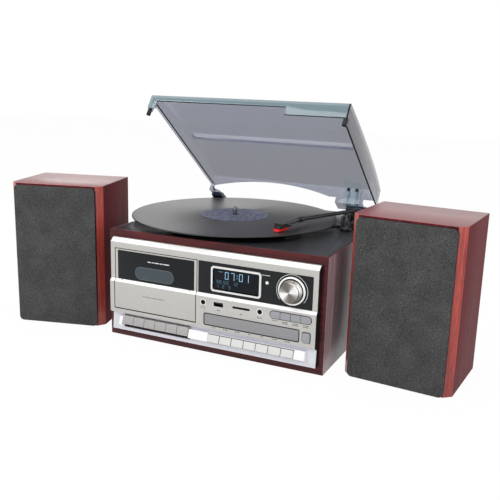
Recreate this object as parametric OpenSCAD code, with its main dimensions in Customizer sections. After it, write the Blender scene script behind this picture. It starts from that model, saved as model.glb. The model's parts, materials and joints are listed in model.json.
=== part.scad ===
// Stereo music centre: record player, tape deck, disc drawer and radio in a wooden
// cabinet, with a pair of wooden speakers. Millimetres, +Z up, the front faces -Y.
// The origin is the centre of the cabinet's underside.

/* [Cabinet] */
// Width of the main cabinet
cab_w = 318; // [312:1:340]
// Height of the main cabinet
cab_h = 152; // [148:1:170]
// Depth of the main cabinet
cab_d = 300; // [296:1:330]
// Thickness of the side boards
side_t = 7.5; // [6:0.5:9]
// Thickness of the top board
top_t = 10; // [9:0.5:12]
// Thickness of the bottom board
bottom_t = 10.5; // [9:0.5:12]
// Thickness of the back panel
back_t = 3; // [2:0.5:5]
// Radius of a foot pad
foot_r = 8; // [5:1:12]
// Height of a foot pad
foot_h = 2; // [1:0.5:6]
// Distance of the foot pads from the cabinet's edges
foot_inset = 20; // [14:1:40]

/* [Deck and record] */
// Thickness of the deck plate
deck_t = 2; // [1.5:0.5:3]
// Wooden border left round the deck plate
deck_margin = 3; // [2:0.5:6]
// Depth of the round pan under the platter
pan_depth = 6; // [5:0.5:6.5]
// Wall of the pan
pan_wall = 1.5; // [1:0.5:2]
// Free ring between the platter and the pan wall
pan_gap = 4; // [3:0.5:5]
// Distance from the lid hinge forward to the spindle
spindle_back = 149; // [147:1:151]
// Distance from the spindle to the tonearm pivot, across
pivot_dx = 161; // [160:1:163]
// Distance from the spindle to the tonearm pivot, front to back
pivot_dy = 87; // [85:1:89]
// Radius of the platter
platter_r = 100; // [95:1:102]
// Thickness of the platter disc
platter_t = 4; // [3:0.5:5]
// Radius of the ring under the platter that the belt runs on
belt_ring_r = 70; // [66:1:74]
// Radius of the motor pulley
pulley_r = 6; // [5:0.5:7]
// Thickness of the drive belt
belt_t = 0.8; // [0.6:0.1:1.2]
// Radius of the record
record_r = 150.5; // [148:0.5:151]
// Thickness of the record
record_t = 1.9; // [1.5:0.1:2.2]
// Height of the record's underside above the deck
record_lift = 7.5; // [7:0.5:8]
// Radius of the spindle
spindle_r = 3.55; // [3.4:0.05:3.6]
// Height of the spindle above the record
spindle_h = 12; // [8:1:14]

/* [Tonearm] */
// Height of the arm tube's centre above the deck
arm_lift = 19; // [17:0.5:22]
// Radius of the arm tube
arm_r = 2.8; // [2:0.1:3]
// Length of the straight tube
arm_len = 118; // [110:1:122]
// Length from the end of the tube to the stylus
shell_len = 63; // [56:1:64]
// Width of the cartridge shell
shell_w = 15; // [12:0.5:17]
// Direction of the tube, from straight ahead towards the record
arm_angle = 22.5; // [20:0.5:24]
// Direction of the shell, from straight ahead towards the record
shell_angle = 11.4; // [8:0.2:14]
// Radius of the pivot housing
yoke_r = 11; // [9:0.5:12]
// Radius of the pivot's base disc
arm_base_r = 14; // [13:0.5:15]

/* [Dust cover] */
// Angle that the cover stands open at
lid_open = 35; // [0:1:45]
// Wall of the cover
lid_wall = 2.3; // [2:0.1:3]
// Gap between the closed cover's rim and the deck
lid_gap = 2; // [1.5:0.5:4]
// Distance of the cover's sides from the cabinet's sides
lid_side = 11.5; // [11:0.5:12.5]
// How much narrower each side of the cover is at the back
lid_taper = 3.5; // [0:0.5:4]
// Length of the cover's rim, front to back
lid_len = 232.6; // [230:0.1:234]
// Height of the cover's front above its rim
lid_front_h = 29; // [27:0.5:31]
// Greatest height of the cover above its rim
lid_top_h = 34; // [32:0.5:38]
// Height of the cover's back above its rim
lid_rear_h = 27; // [25:0.5:30]
// Height of the strip that is left of the front and left skirts
lid_strip = 8.5; // [6:0.5:12]
// Width of the post at the front left corner
lid_post = 12; // [8:1:16]
// Distance from the cover's back to the hinge axis
lid_reach = 35; // [34:0.2:36]
// Distance of the hinge axis from the cabinet's back
hinge_inset = 10; // [9:0.5:12]
// Radius of the hinge knuckles
knuckle_r = 5; // [4.5:0.1:5.2]
// Radius of the hinge pins
hinge_pin_r = 2; // [1.5:0.1:2.5]

/* [Fascia] */
// Wall of the moulded fascia
fascia_t = 2.5; // [2:0.1:3]
// How far the upper zone stands in front of the cabinet
upper_proud = 9.5; // [8:0.5:11]
// How far the middle zone stands in front of the cabinet
mid_proud = 12.5; // [11:0.5:14]
// How far the lower zone stands in front of the cabinet, at its top
low_proud = 5; // [4:0.5:6]
// How much further out the lower zone is at its foot
low_slope = 2; // [0:0.5:3]
// How far the top chamfer starts in front of the cabinet
top_proud = 3.5; // [2:0.5:6]
// Height of the bright chamfer along the top
chamfer_h = 5; // [4:0.5:8]
// Height of the foot of the ledge
ledge_z = 81.5; // [80:0.5:82]
// Height of the slanted ledge
ledge_h = 3.5; // [2:0.5:3.5]
// Height of the foot of the middle zone
step_z = 38; // [37.5:0.1:38.5]
// Height of the black display panel
panel_h = 43; // [41:0.5:43]
// Width of the black display panel
panel_w = 158; // [154:1:160]
// Thickness of the black display panel
panel_t = 1.5; // [1:0.1:1.8]
// Width of the display
display_w = 64.7; // [58:0.1:66]
// Height of the display
display_h = 27.7; // [24:0.1:28]
// Width of the bright frame round the display
display_rim = 3; // [2:0.1:4]
// Radius of the volume knob's flange
knob_r = 18; // [16:0.5:19]
// Length of the volume knob
knob_len = 12; // [10:0.5:16]

/* [Keys and buttons] */
// Pitch of the tape keys and of the play buttons
key_pitch = 17.35; // [16.5:0.05:17.4]
// Gap between keys
key_gap = 0.6; // [0.4:0.1:1]
// Height of a tape key's face
key_h = 11; // [10:0.5:11.5]
// Travel of a tape key at its face
key_travel = 4; // [2:0.5:4]
// Height of a play button
play_h = 9.6; // [8:0.2:10]
// Travel of a play button
play_travel = 1.5; // [1:0.1:2]
// Width of the group of mode buttons
mode_w = 55; // [50:1:56]
// Height of a mode button
mode_h = 9; // [7:0.5:9]
// Width of the power button
power_w = 9.8; // [8:0.2:10]
// Height of the power button
power_h = 12.3; // [10:0.1:13]

/* [Tape deck] */
// Width of the tape door
door_w = 127; // [124:0.5:128]
// Thickness of the tape door
door_t = 3; // [2.5:0.1:3.5]
// Gap round the tape door
door_gap = 0.9; // [0.8:0.1:1.2]
// Distance of the smoked window from the door's edges
window_rim = 3.5; // [3:0.5:5]
// Distance between the two reels
reel_pitch = 42.5; // [41:0.5:44]
// Radius of a reel hub
reel_r = 4.2; // [3.6:0.1:4.8]

/* [Disc drawer] */
// Width of the drawer's front
tray_w = 131.8; // [130:0.1:133]
// Height of the drawer's front
tray_h = 14.5; // [13:0.1:14.5]
// Depth of the drawer
tray_d = 150; // [145:1:156]
// Radius of the disc recess
disc_r = 60.5; // [60:0.1:61]

/* [Sockets] */
// Radius of a headphone or line jack's bore
jack_r = 1.8; // [1.75:0.05:1.9]
// Radius of a jack's barrel
jack_barrel_r = 3.4; // [3:0.1:3.6]
// Width of the memory stick socket
usb_w = 13.4; // [12:0.1:14]
// Height of the memory stick socket
usb_h = 5.8; // [5.4:0.1:6.4]

/* [Speakers] */
// Width of a speaker
spk_w = 137; // [120:1:140]
// Height of a speaker
spk_h = 206; // [190:1:230]
// Depth of a speaker's box
spk_d = 112; // [96:1:130]
// Thickness of a speaker's walls
spk_wall = 9; // [7:0.5:12]
// Bevel along the upright front edges
spk_bevel = 9; // [5:0.5:10]
// How far the cloth grille stands out
grille_t = 5; // [4:0.5:12]
// Corner radius of the grille
grille_corner = 6; // [3:0.5:10]
// Wood left showing round the grille, at the sides
grille_side = 8; // [6:0.5:12]
// Wood left showing above the grille
grille_top = 2.5; // [2:0.5:8]
// Radius of the driver's rim
driver_r = 50; // [42:1:50]
// How far the left speaker's front stands before the cabinet's front
left_front = 4; // [0:0.5:30]
// How far the right speaker's front stands behind the cabinet's front
right_back = 13; // [0:0.5:30]
// Distance of the left speaker's middle from the cabinet's side
left_away = 93; // [88:0.5:140]
// Distance of the right speaker's middle from the cabinet's side
right_away = 85.5; // [80:0.5:140]
// Turn of the left speaker towards the listener
left_turn = 15; // [0:0.1:30]
// Turn of the right speaker
right_turn = -5; // [-20:0.1:5]

/* [Fits] */
// Gap between fixed parts that slip together
fit = 0.3; // [0.2:0.05:0.4]
// Gap round a sliding button
slide_gap = 0.35; // [0.25:0.05:0.4]
// Gap of a shaft in its bearing
run_gap = 0.05; // [0.02:0.01:0.08]

/* [Hidden] */
$fn = 48;

// Colours
mahogany = "#5c2226";
silver = "#c9c7c0";
gloss_black = "#232528";
deck_black = "#2b2a2c";
steel = "#b8b8bc";
smoke = [0.5, 0.52, 0.58, 0.45];
board_green = "#2d5a3a";

// Cabinet
front_y = -cab_d / 2;
back_y = cab_d / 2;
inner_w = cab_w - 2 * side_t;
inner_top = cab_h - top_t;
deck_w = cab_w - 2 * deck_margin;
deck_d = cab_d - 2 * deck_margin;
table_z = -foot_h;
foot_sink = 1;

// Turntable
hinge_y = back_y - hinge_inset;
hinge_z = cab_h - 1.5;
pivot_x = cab_w / 2 - 35;
spindle_x = pivot_x - pivot_dx;
spindle_y = hinge_y - spindle_back;
pivot_y = spindle_y + pivot_dy;
shank_r = spindle_r - 0.4;
nose_z = cab_h + record_lift + record_t + 0.6;
pan_r = platter_r + pan_gap;
pan_floor = cab_h - pan_depth;
record_z = cab_h + record_lift;
record_top = record_z + record_t;
mat_gap = 0.3;
platter_top = record_z - mat_gap;
platter_z = platter_top - platter_t;
platter_skirt = 2;
belt_z = pan_floor + 3.5;
belt_h = 5;
pulley_dist = belt_ring_r + pulley_r + 12;
pulley_angle = 215;
pulley_x = spindle_x + pulley_dist * cos(pulley_angle);
pulley_y = spindle_y + pulley_dist * sin(pulley_angle);
motor_shaft_r = 1;
motor_r = 16;
motor_h = 26;
bearing_r = 8;
bearing_h = 12;

// Tonearm
arm_z = cab_h + arm_lift;
arm_pin_r = 1.2;
ear_t = 2.5;
arm_hub_w = 9;
post_r = 5;
base_t = 4;
post_h = arm_lift - base_t - 3.9;
rest_dist = 45;
parked_swing = 13;
stylus_gap = 0.3;
cartridge_drop = 4.4;
cartridge_len = 26;
selector_x = pivot_x + 4;
selector_y = pivot_y - 66;
selector_r = 8;
arm_dir = [-sin(arm_angle), -cos(arm_angle)];
joint_xy = [pivot_x, pivot_y] + arm_dir * arm_len;

// Dust cover, drawn closed and then turned about the hinge
lid_half_front = cab_w / 2 - lid_side;
lid_half_rear = lid_half_front - lid_taper;
lid_rear_y = hinge_y - lid_reach;
lid_front_y = lid_rear_y - lid_len;
rim_z = cab_h + lid_gap;
lid_crest = 130;
lid_steps = 12;
record_air = 3;

// Half the record's width at the depth y
function record_edge(y) = sqrt(max(0, pow(record_r, 2) - pow(y - spindle_y, 2)));

notch_end_x = spindle_x + record_edge(lid_front_y) + 2 * record_air;
arch_left_x = spindle_x - record_edge(lid_rear_y) - record_air;
arch_right_x = spindle_x + record_edge(lid_rear_y) + record_air;
arch_low = record_top - rim_z + 1.2;
arch_rise = lid_rear_h - arch_low - 4;
flange_w = 2;
flange_h = 2.5;
roof_rib_back = 103;
roof_rib_w = 11;
roof_rib_drop = 5;
tab_t = 4;
tab_z = cab_h + 0.8;
tab_y = lid_rear_y - lid_wall;
tab_end_y = hinge_y - 14;
tab_air = 1.2;
gusset_t = 2.4;
knuckle_gap = 0.4;
knuckle_w = 20;
left_knuckle_x = -lid_half_rear + 5;
left_tab_x0 = -lid_half_rear - 1;
left_tab_x1 = -lid_half_rear + 15;
right_knuckle_x = lid_half_rear - 37;
right_knuckle_w = 34;
right_tab_x0 = right_knuckle_x - 30;
right_tab_x1 = right_knuckle_x + 14;
right_plate_x0 = right_knuckle_x - 18;
right_plate_x1 = right_knuckle_x + 8;
right_gussets = [right_knuckle_x - 12.8, right_knuckle_x + 0.5];
cheek_t = 4;
hinge_base_t = 1.2;
notch_depth = 8;
notch_front_y = hinge_y - knuckle_r - 3.5;
bumper_r = 3;
bumper_bay = 2 * bumper_r + 1;

// Fascia
lip = 6;
fascia_w = inner_w - 2 * fit;
fascia_z0 = bottom_t + fit;
fascia_z1 = inner_top - fit;
upper_y = front_y - upper_proud;
mid_y = front_y - mid_proud;
low_y = front_y - low_proud;
ledge_top = ledge_z + ledge_h;
step_h = 4;
panel_side = 6.9;
panel_x = fascia_w / 2 - panel_side - panel_w / 2;
panel_z0 = ledge_top + 0.2;
panel_zc = panel_z0 + panel_h / 2;
display_x = panel_x - 24.7;
display_z = panel_z0 + 21.6;
ring_proud = 1.5;
ring_corner = 3;
knob_x = panel_x + 51.9;
knob_z = panel_z0 + 21.4;
knob_cap_r = 12.4;
knob_body_r = 14.5;
encoder_r = 3;
eye_x = panel_x + 18.2;
eye_z = panel_z0 + 26.6;
eye_r = 2.2;

// Rail with the play buttons
rail_x = 0;
rail_w = fascia_w - 27.4;
rail_z0 = 20;
rail_z1 = 31.3;
rail_proud_top = 9.6;
rail_proud_foot = 13;
play_x0 = panel_x - 63.3;
play_z = 25.4;
play_proud = 0.8;
play_count = 7;

// Tape keys, under the tape door
door_side = 7.7;
door_x = -fascia_w / 2 + door_side + door_w / 2;
key_x0 = door_x - 51.8;
key_count = 6;
key_z1 = 33;
key_z0 = key_z1 - key_h;
key_pivot_y = front_y + 24;
key_pivot_z = 30;
key_rod_r = 1.5;
key_well_z0 = key_z0 - key_travel - 2.5;

// Tape door
door_z0 = step_z + 6.5;
door_z1 = inner_top - 14.5;
door_axis_in = 2;
door_axis_up = 2;
door_pin_r = 1.2;
door_pin_len = 2.5;
window_t = 2;
window_z0 = ledge_top + 0.2;
window_z1 = door_z1 - window_rim + 1.8;
cassette_w = 104;
rail_depth = 13;
reel_z = 92.8;
reel_shaft_r = 2;
reel_front_y = front_y;
mech_y = front_y + 16;
mech_t = 3;

// Drawer
tray_x = panel_x - 2;
tray_z = 51.3;
tray_corner = 1.5;
tray_front_t = 3;
tray_bed_z0 = tray_z - 4.3;
tray_bed_t = 6;
tray_bed_w = tray_w - 6;
disc_y = mid_y + tray_front_t + 66;
disc_sink = 2.5;
slot_w = 36;
guide_t = 3;
hub_shaft_r = 1.5;
hub_r = 14;

// Small buttons
mode_x = panel_x + 52.5;
mode_z = ledge_z - 8.2;
mode_count = 4;
power_x = panel_x + panel_w / 2 - power_w / 2;
power_z = 50.8;

// Front sockets
socket_z = ledge_z - 8;
phones_x = panel_x - 70.1;
aux_x = panel_x + 10.8;
usb_x = panel_x - 47.7;
sd_x = panel_x - 15.3;
sd_w = 24;
sd_h = 3;
board_y = front_y + 3;
board_t = 1.6;
board_x0 = panel_x - 77.3;
board_x1 = fascia_w / 2 - fascia_t - fit;
jack_len = 12;

// Speakers: the front centre of each foot
left_x = -(cab_w / 2 + left_away);
right_x = cab_w / 2 + right_away;
left_y = front_y - left_front;
right_y = front_y + right_back;

// Helpers

// A rectangle with true round corners
module round_rect(w, h, r) {
    square([w - 2 * r, h], center = true);
    square([w, h - 2 * r], center = true);
    for (sx = [-1, 1], sy = [-1, 1])
        translate([sx * (w / 2 - r), sy * (h / 2 - r)]) circle(r);
}

// A plate that faces the front: from y0 forward by t
module front_plate(x, z, w, h, r, y0, t) {
    translate([x, y0, z]) rotate([90, 0, 0]) linear_extrude(t) round_rect(w, h, r);
}

// A cylinder that points to the front: from y0 forward by t
module front_rod(x, z, r, y0, t) {
    translate([x, y0, z]) rotate([90, 0, 0]) cylinder(r = r, h = t);
}

// A section of points [y, z] pulled along X from x0 to x1
module pulled(x0, x1, points) {
    translate([x0, 0, 0]) rotate([90, 0, 90]) linear_extrude(x1 - x0) polygon(points);
}

// A box given by its two corners
module block(a, b) {
    translate(a) cube(b - a);
}

// Turns closed-cover parts to the angle that the cover stands at
module lid_turn() {
    translate([0, hinge_y, hinge_z]) rotate([-lid_open, 0, 0])
        translate([0, -hinge_y, -hinge_z]) children();
}

// Section of the fascia, t inside its outer faces, reaching back by reach
function fascia_section(t, reach) = [
    [front_y + reach, fascia_z0 + t],
    [low_y - low_slope + t, fascia_z0 + t],
    [low_y + t, step_z - step_h],
    [mid_y + t, step_z],
    [mid_y + t, ledge_z],
    [upper_y + t, ledge_top],
    [upper_y + t, fascia_z1 - chamfer_h],
    [front_y - top_proud + t, fascia_z1 - t],
    [front_y + reach, fascia_z1 - t]];

// Section of the rail, in front of the lower zone
function rail_section(back) = [
    [back, rail_z0],
    [front_y - rail_proud_foot, rail_z0],
    [front_y - rail_proud_foot, rail_z0 + 0.8],
    [front_y - rail_proud_top, rail_z1],
    [back, rail_z1]];

// How far the rail's face stands in front of the cabinet at height z
function rail_face(z) = rail_proud_foot
    - (rail_proud_foot - rail_proud_top) * (z - rail_z0 - 0.8) / (rail_z1 - rail_z0 - 0.8);

function play_button_x(i) = play_x0 + (i - 0.5) * key_pitch;
function tape_key_x(i) = key_x0 + (i - 0.5) * key_pitch;
function mode_button_x(i) = mode_x + (i - (mode_count + 1) / 2) * mode_w / mode_count;

// Height of the cover above its rim, s behind its front
function lid_height(s) = s < lid_crest
    ? lid_top_h - (lid_top_h - lid_front_h) * pow((lid_crest - s) / lid_crest, 2)
    : lid_top_h - (lid_top_h - lid_rear_h) * pow((s - lid_crest) / (lid_len - lid_crest), 2.6);

// Cabinet

module hinge_notch(x, w, floor_z) {
    block([x - w / 2 - cheek_t - knuckle_gap - fit, notch_front_y, floor_z],
        [x + w / 2 + cheek_t + knuckle_gap + fit, back_y + 1, cab_h + 1]);
}

module cabinet() {
    color(mahogany) difference() {
        block([-cab_w / 2, front_y, 0], [cab_w / 2, back_y, cab_h]);
        block([-inner_w / 2, front_y - 1, bottom_t], [inner_w / 2, back_y + 1, inner_top]);
        block([-deck_w / 2, -deck_d / 2, cab_h - deck_t], [deck_w / 2, deck_d / 2, cab_h + 1]);
        translate([spindle_x, spindle_y, inner_top - 1])
            cylinder(r = pan_r + pan_wall + fit, h = top_t + 2);
        hinge_notch(left_knuckle_x, knuckle_w, cab_h - notch_depth);
        hinge_notch(right_knuckle_x, right_knuckle_w, cab_h - notch_depth);
        for (sx = [-1, 1], sy = [-1, 1])
            translate([sx * (cab_w / 2 - foot_inset), sy * (cab_d / 2 - foot_inset), -1])
                cylinder(r = foot_r, h = 1 + foot_sink);
    }
}

module feet() {
    color("#1c1c1c") for (sx = [-1, 1], sy = [-1, 1])
        translate([sx * (cab_w / 2 - foot_inset), sy * (cab_d / 2 - foot_inset), table_z])
            cylinder(r = foot_r - fit, h = foot_h + foot_sink);
}

// Places of the sockets on the back: line output, aerial and speaker clips
rear_jack_r = 4.2;
rear_jack_x = [-inner_w / 2 + 41.5, -inner_w / 2 + 59.5];
rear_jack_z = 60;
clip_x = [-inner_w / 2 + 101.5, -inner_w / 2 + 161.5];
clip_w = 34;
clip_h = 20;
gland_x = inner_w / 2 - 36.5;
gland_z = 32;
gland_r = 6;

module back_panel() {
    color("#2a2a2a") difference() {
        block([-inner_w / 2 + fit, back_y - back_t, bottom_t],
            [inner_w / 2 - fit, back_y, inner_top - fit]);
        for (x = rear_jack_x) front_rod(x, rear_jack_z, rear_jack_r + fit, back_y + 1, back_t + 2);
        for (x = clip_x) front_plate(x, rear_jack_z, clip_w + 2 * fit, clip_h + 2 * fit, 1,
            back_y + 1, back_t + 2);
        front_rod(gland_x, gland_z, gland_r + fit, back_y + 1, back_t + 2);
    }
}

// Fascia

module door_opening() {
    block([door_x - door_w / 2 - door_gap, front_y - 30, door_z0 - door_gap],
        [door_x + door_w / 2 + door_gap, front_y + 10, door_z1 + door_gap]);
}

module fascia_holes() {
    door_opening();
    // Recess for the display panel, and what passes through it
    front_plate(panel_x, panel_zc, panel_w + 2 * fit, panel_h, 1.5, upper_y + panel_t, panel_t + 5);
    front_rod(knob_x, knob_z, encoder_r + 2, front_y + 1, 20);
    front_rod(eye_x, eye_z, eye_r, front_y + 1, 20);
    // Sockets
    for (x = [phones_x, aux_x]) front_rod(x, socket_z, jack_barrel_r + 0.1, front_y, 20);
    front_plate(usb_x, socket_z, usb_w + 1.4, usb_h + 1, 0.5, front_y, 20);
    front_plate(sd_x, socket_z, sd_w + 0.6, sd_h + 0.4, 0.5, front_y, 20);
    // Mode buttons, drawer and power button
    front_plate(mode_x, mode_z, mode_w + 2 * slide_gap, mode_h + 2 * slide_gap,
        mode_h / 2, front_y, 20);
    front_plate(tray_x, tray_z, tray_w + 4 * slide_gap, tray_h + 4 * slide_gap,
        tray_corner, front_y, 20);
    front_plate(power_x, power_z, power_w + 2 * slide_gap, power_h + 2 * slide_gap,
        2, front_y, 20);
    // Well of the tape keys
    block([key_x0 - key_gap, front_y - 20, key_well_z0],
        [key_x0 + key_count * key_pitch + key_gap, front_y + 5, key_z1 + key_gap]);
    for (i = [1:play_count])
        front_plate(play_button_x(i), play_z, key_pitch - key_gap + 2 * slide_gap,
            play_h + 2 * slide_gap, 1, front_y + 5, 30);
}

// Positions of the posts that carry the control board
board_posts = [
    [board_x0 + 3, inner_top - 16, upper_y],
    [board_x1 - 2.4, inner_top - 16, upper_y],
    [board_x1 - 2.4, bottom_t + 6.5, low_y],
    [board_x0 + 3, step_z + 2, mid_y]];

module fascia() {
    color(silver) difference() {
        union() {
            difference() {
                pulled(-fascia_w / 2, fascia_w / 2, fascia_section(0, lip));
                pulled(-fascia_w / 2 + fascia_t, fascia_w / 2 - fascia_t,
                    fascia_section(fascia_t, lip + 1));
            }
            // Rail, with its inner end tied to the shell
            pulled(rail_x - rail_w / 2, rail_x + rail_w / 2, rail_section(low_y + fascia_t));
            // Lugs that hold the tape door's pins
            for (s = [-1, 1])
                translate([door_x + s * (door_w / 2 + door_gap + 2.5), 0, 0])
                    block([-2.5, mid_y + 0.5, door_z0 - 2], [2.5, mid_y + 6, door_z0 + 6]);
            for (p = board_posts) front_rod(p[0], p[1], 3, board_y, board_y - p[2] - 0.5);
        }
        fascia_holes();
        front_plate(display_x, display_z, display_w, display_h, ring_corner, front_y, 30);
        for (s = [-1, 1])
            translate([door_x + s * (door_w / 2 + door_gap - 1), mid_y + door_axis_in,
                    door_z0 + door_axis_up])
                rotate([0, 90 * s, 0]) cylinder(r = door_pin_r + run_gap, h = door_pin_len + 1.5);
    }
    // Bright frame round the display, moulded with the fascia
    color(silver) difference() {
        front_plate(display_x, display_z, display_w + 2 * display_rim, display_h + 2 * display_rim,
            ring_corner + 1, upper_y + panel_t, panel_t + ring_proud);
        front_plate(display_x, display_z, display_w, display_h, ring_corner, front_y, 30);
    }
}

module display_panel() {
    color(gloss_black) difference() {
        front_plate(panel_x, panel_zc, panel_w, panel_h - 2 * fit, 1.2, upper_y + panel_t, panel_t);
        front_plate(display_x, display_z, display_w + 2 * display_rim + 2 * fit,
            display_h + 2 * display_rim + 2 * fit, ring_corner + 1, upper_y + panel_t + 1, panel_t + 2);
        front_rod(knob_x, knob_z, encoder_r + 1, front_y, 20);
        front_rod(eye_x, eye_z, eye_r, front_y, 20);
    }
}

module display_window() {
    color("#0d1522") front_plate(display_x, display_z, display_w - 2 * fit, display_h - 2 * fit,
        ring_corner - fit, upper_y + panel_t, panel_t + 0.6);
}

module control_board() {
    color(board_green) {
        difference() {
            block([board_x0, board_y, bottom_t + 3.5], [board_x1, board_y + board_t, inner_top - 12]);
            block([tray_x - tray_w / 2 - 3, board_y - 1, tray_z - tray_h / 2 - 3],
                [tray_x + tray_w / 2 + 3, board_y + board_t + 1, tray_z + tray_h / 2 + 3]);
        }
    }
    // Display block behind its window
    color("#101010") front_plate(display_x, display_z, display_w - 2, display_h - 2, 1,
        board_y, board_y - upper_y - panel_t - fit);
    // Encoder that the volume knob sits on
    color(steel) {
        front_plate(knob_x, knob_z, 12, 12, 0.5, board_y, 6);
        front_rod(knob_x, knob_z, encoder_r, board_y - 5, board_y - 5 - upper_y + 8.5);
    }
    // Remote control eye
    color("#d8d8d8") front_rod(eye_x, eye_z, eye_r - 0.1, board_y, board_y - upper_y);
}

module volume_knob() {
    knob_back = 0.4;
    color("#b5aba5") translate([knob_x, upper_y - knob_back, knob_z]) rotate([90, 0, 0])
        rotate_extrude() polygon([
            [encoder_r + run_gap, 0], [knob_r, 0], [knob_r, 1.4], [knob_r - 1.6, 2.4],
            [knob_body_r, 2.4], [knob_cap_r, knob_len - 0.8], [knob_cap_r - 0.8, knob_len],
            [0, knob_len], [0, 9], [encoder_r + run_gap, 9]]);
}

module jack_sockets() {
    color("#151515") {
        for (x = [phones_x, aux_x]) difference() {
            union() {
                front_rod(x, socket_z, jack_barrel_r, board_y, board_y - mid_y);
                front_plate(x, socket_z, 8, 8, 0.5, board_y, 6);
            }
            front_rod(x, socket_z, jack_r, mid_y + jack_len, jack_len + 1);
        }
        // Memory card slot
        difference() {
            front_plate(sd_x, socket_z, sd_w, sd_h, 0.3, board_y, board_y - mid_y - 0.3);
            front_plate(sd_x, socket_z, sd_w - 1.6, sd_h - 1.4, 0.2, board_y - 3, 20);
        }
        // Rear line sockets and speaker clips
        for (x = rear_jack_x) difference() {
            front_rod(x, rear_jack_z, rear_jack_r, back_y + 6, back_t + 12);
            front_rod(x, rear_jack_z, 1.6, back_y + 7, 10);
        }
        for (x = clip_x)
            front_plate(x, rear_jack_z, clip_w, clip_h, 1, back_y + 2, back_t + 8);
        // Gland for the mains lead
        difference() {
            front_rod(gland_x, gland_z, gland_r, back_y + 4, back_t + 10);
            front_rod(gland_x, gland_z, 3, back_y + 5, back_t + 20);
        }
    }
    // Memory stick socket, with its tongue
    color(steel) difference() {
        front_plate(usb_x, socket_z, usb_w, usb_h, 0.3, board_y, board_y - mid_y - 0.2);
        front_plate(usb_x, socket_z, usb_w - 1, usb_h - 1, 0.2, board_y - 2, 20);
    }
    color("#e8e8e8") front_plate(usb_x, socket_z + 1.2, usb_w - 2.4, 1.6, 0.2, board_y - 2,
        board_y - 2 - mid_y - 1.5);
}

// Turntable

module deck_plate() {
    color(deck_black) difference() {
        union() {
            block([-deck_w / 2 + fit, -deck_d / 2 + fit, cab_h - deck_t],
                [deck_w / 2 - fit, deck_d / 2 - fit, cab_h]);
            translate([spindle_x, spindle_y, pan_floor - pan_wall])
                cylinder(r = pan_r + pan_wall, h = pan_depth + pan_wall - deck_t + 0.5, $fn = 96);
            translate([spindle_x, spindle_y, pan_floor - pan_wall - bearing_h])
                cylinder(r = bearing_r, h = bearing_h + 1);
        }
        translate([spindle_x, spindle_y, pan_floor]) cylinder(r = pan_r, h = pan_depth + 1, $fn = 96);
        translate([spindle_x, spindle_y, 0]) cylinder(r = shank_r + run_gap, h = cab_h);
        translate([pulley_x, pulley_y, pan_floor - pan_wall - 1]) cylinder(r = 4, h = 5);
        translate([selector_x, selector_y, cab_h - deck_t - 1]) cylinder(r = 2 + run_gap, h = 5);
        hinge_notch(left_knuckle_x, knuckle_w, cab_h - deck_t - 1);
        hinge_notch(right_knuckle_x, right_knuckle_w, cab_h - deck_t - 1);
    }
}

module platter_motor() {
    color(steel) translate([pulley_x, pulley_y, pan_floor - pan_wall - motor_h]) {
        cylinder(r = motor_r, h = motor_h);
        cylinder(r = motor_shaft_r, h = motor_h + pan_wall + 8);
    }
}

module motor_pulley() {
    color("#d8d4c0") translate([pulley_x, pulley_y, pan_floor + 1]) difference() {
        cylinder(r = pulley_r, h = 8);
        translate([0, 0, -1]) cylinder(r = motor_shaft_r + run_gap, h = 10);
    }
}

module belt_outline(extra) {
    hull() {
        translate([spindle_x, spindle_y]) circle(belt_ring_r + extra, $fn = 64);
        translate([pulley_x, pulley_y]) circle(pulley_r + extra, $fn = 32);
    }
}

module drive_belt() {
    color("#101010") translate([0, 0, belt_z]) linear_extrude(belt_h - 0.5) difference() {
        belt_outline(fit + belt_t);
        belt_outline(fit);
    }
}

module platter() {
    color("#2c2c2e") translate([spindle_x, spindle_y, 0]) difference() {
        union() {
            translate([0, 0, platter_z]) cylinder(r = platter_r, h = platter_t, $fn = 96);
            translate([0, 0, platter_z - platter_skirt])
                cylinder(r = platter_r, h = platter_skirt, $fn = 96);
            translate([0, 0, belt_z - 0.5]) cylinder(r = belt_ring_r, h = platter_z - belt_z + 1);
        }
        translate([0, 0, platter_z - platter_skirt - 1])
            difference() {
                cylinder(r = platter_r - 3, h = platter_skirt + 1, $fn = 96);
                cylinder(r = belt_ring_r, h = platter_skirt + 2);
            }
        translate([0, 0, belt_z - 1]) difference() {
            cylinder(r = belt_ring_r - 4, h = platter_z - belt_z + 1);
            cylinder(r = spindle_r + 6, h = platter_z - belt_z + 2);
        }
        translate([0, 0, belt_z - 1]) cylinder(r = shank_r + run_gap, h = 40);
    }
}

module spindle() {
    spindle_foot = pan_floor - pan_wall - bearing_h + 1;
    tip = spindle_r * 0.6;
    color(steel) translate([spindle_x, spindle_y, 0]) rotate_extrude() polygon([
        [0, spindle_foot], [shank_r, spindle_foot], [shank_r, nose_z], [spindle_r, nose_z],
        [spindle_r, record_top + spindle_h - tip],
        [spindle_r - tip, record_top + spindle_h], [0, record_top + spindle_h]]);
}

module record() {
    color("#3a3a3c") translate([spindle_x, spindle_y, record_z]) difference() {
        cylinder(r = record_r, h = record_t, $fn = 128);
        translate([0, 0, -1]) cylinder(r = spindle_r + 0.1, h = record_t + 2);
    }
}

// Tonearm

module about_pivot(turn) {
    translate([pivot_x, pivot_y, 0]) rotate([0, 0, turn]) children();
}

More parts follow.
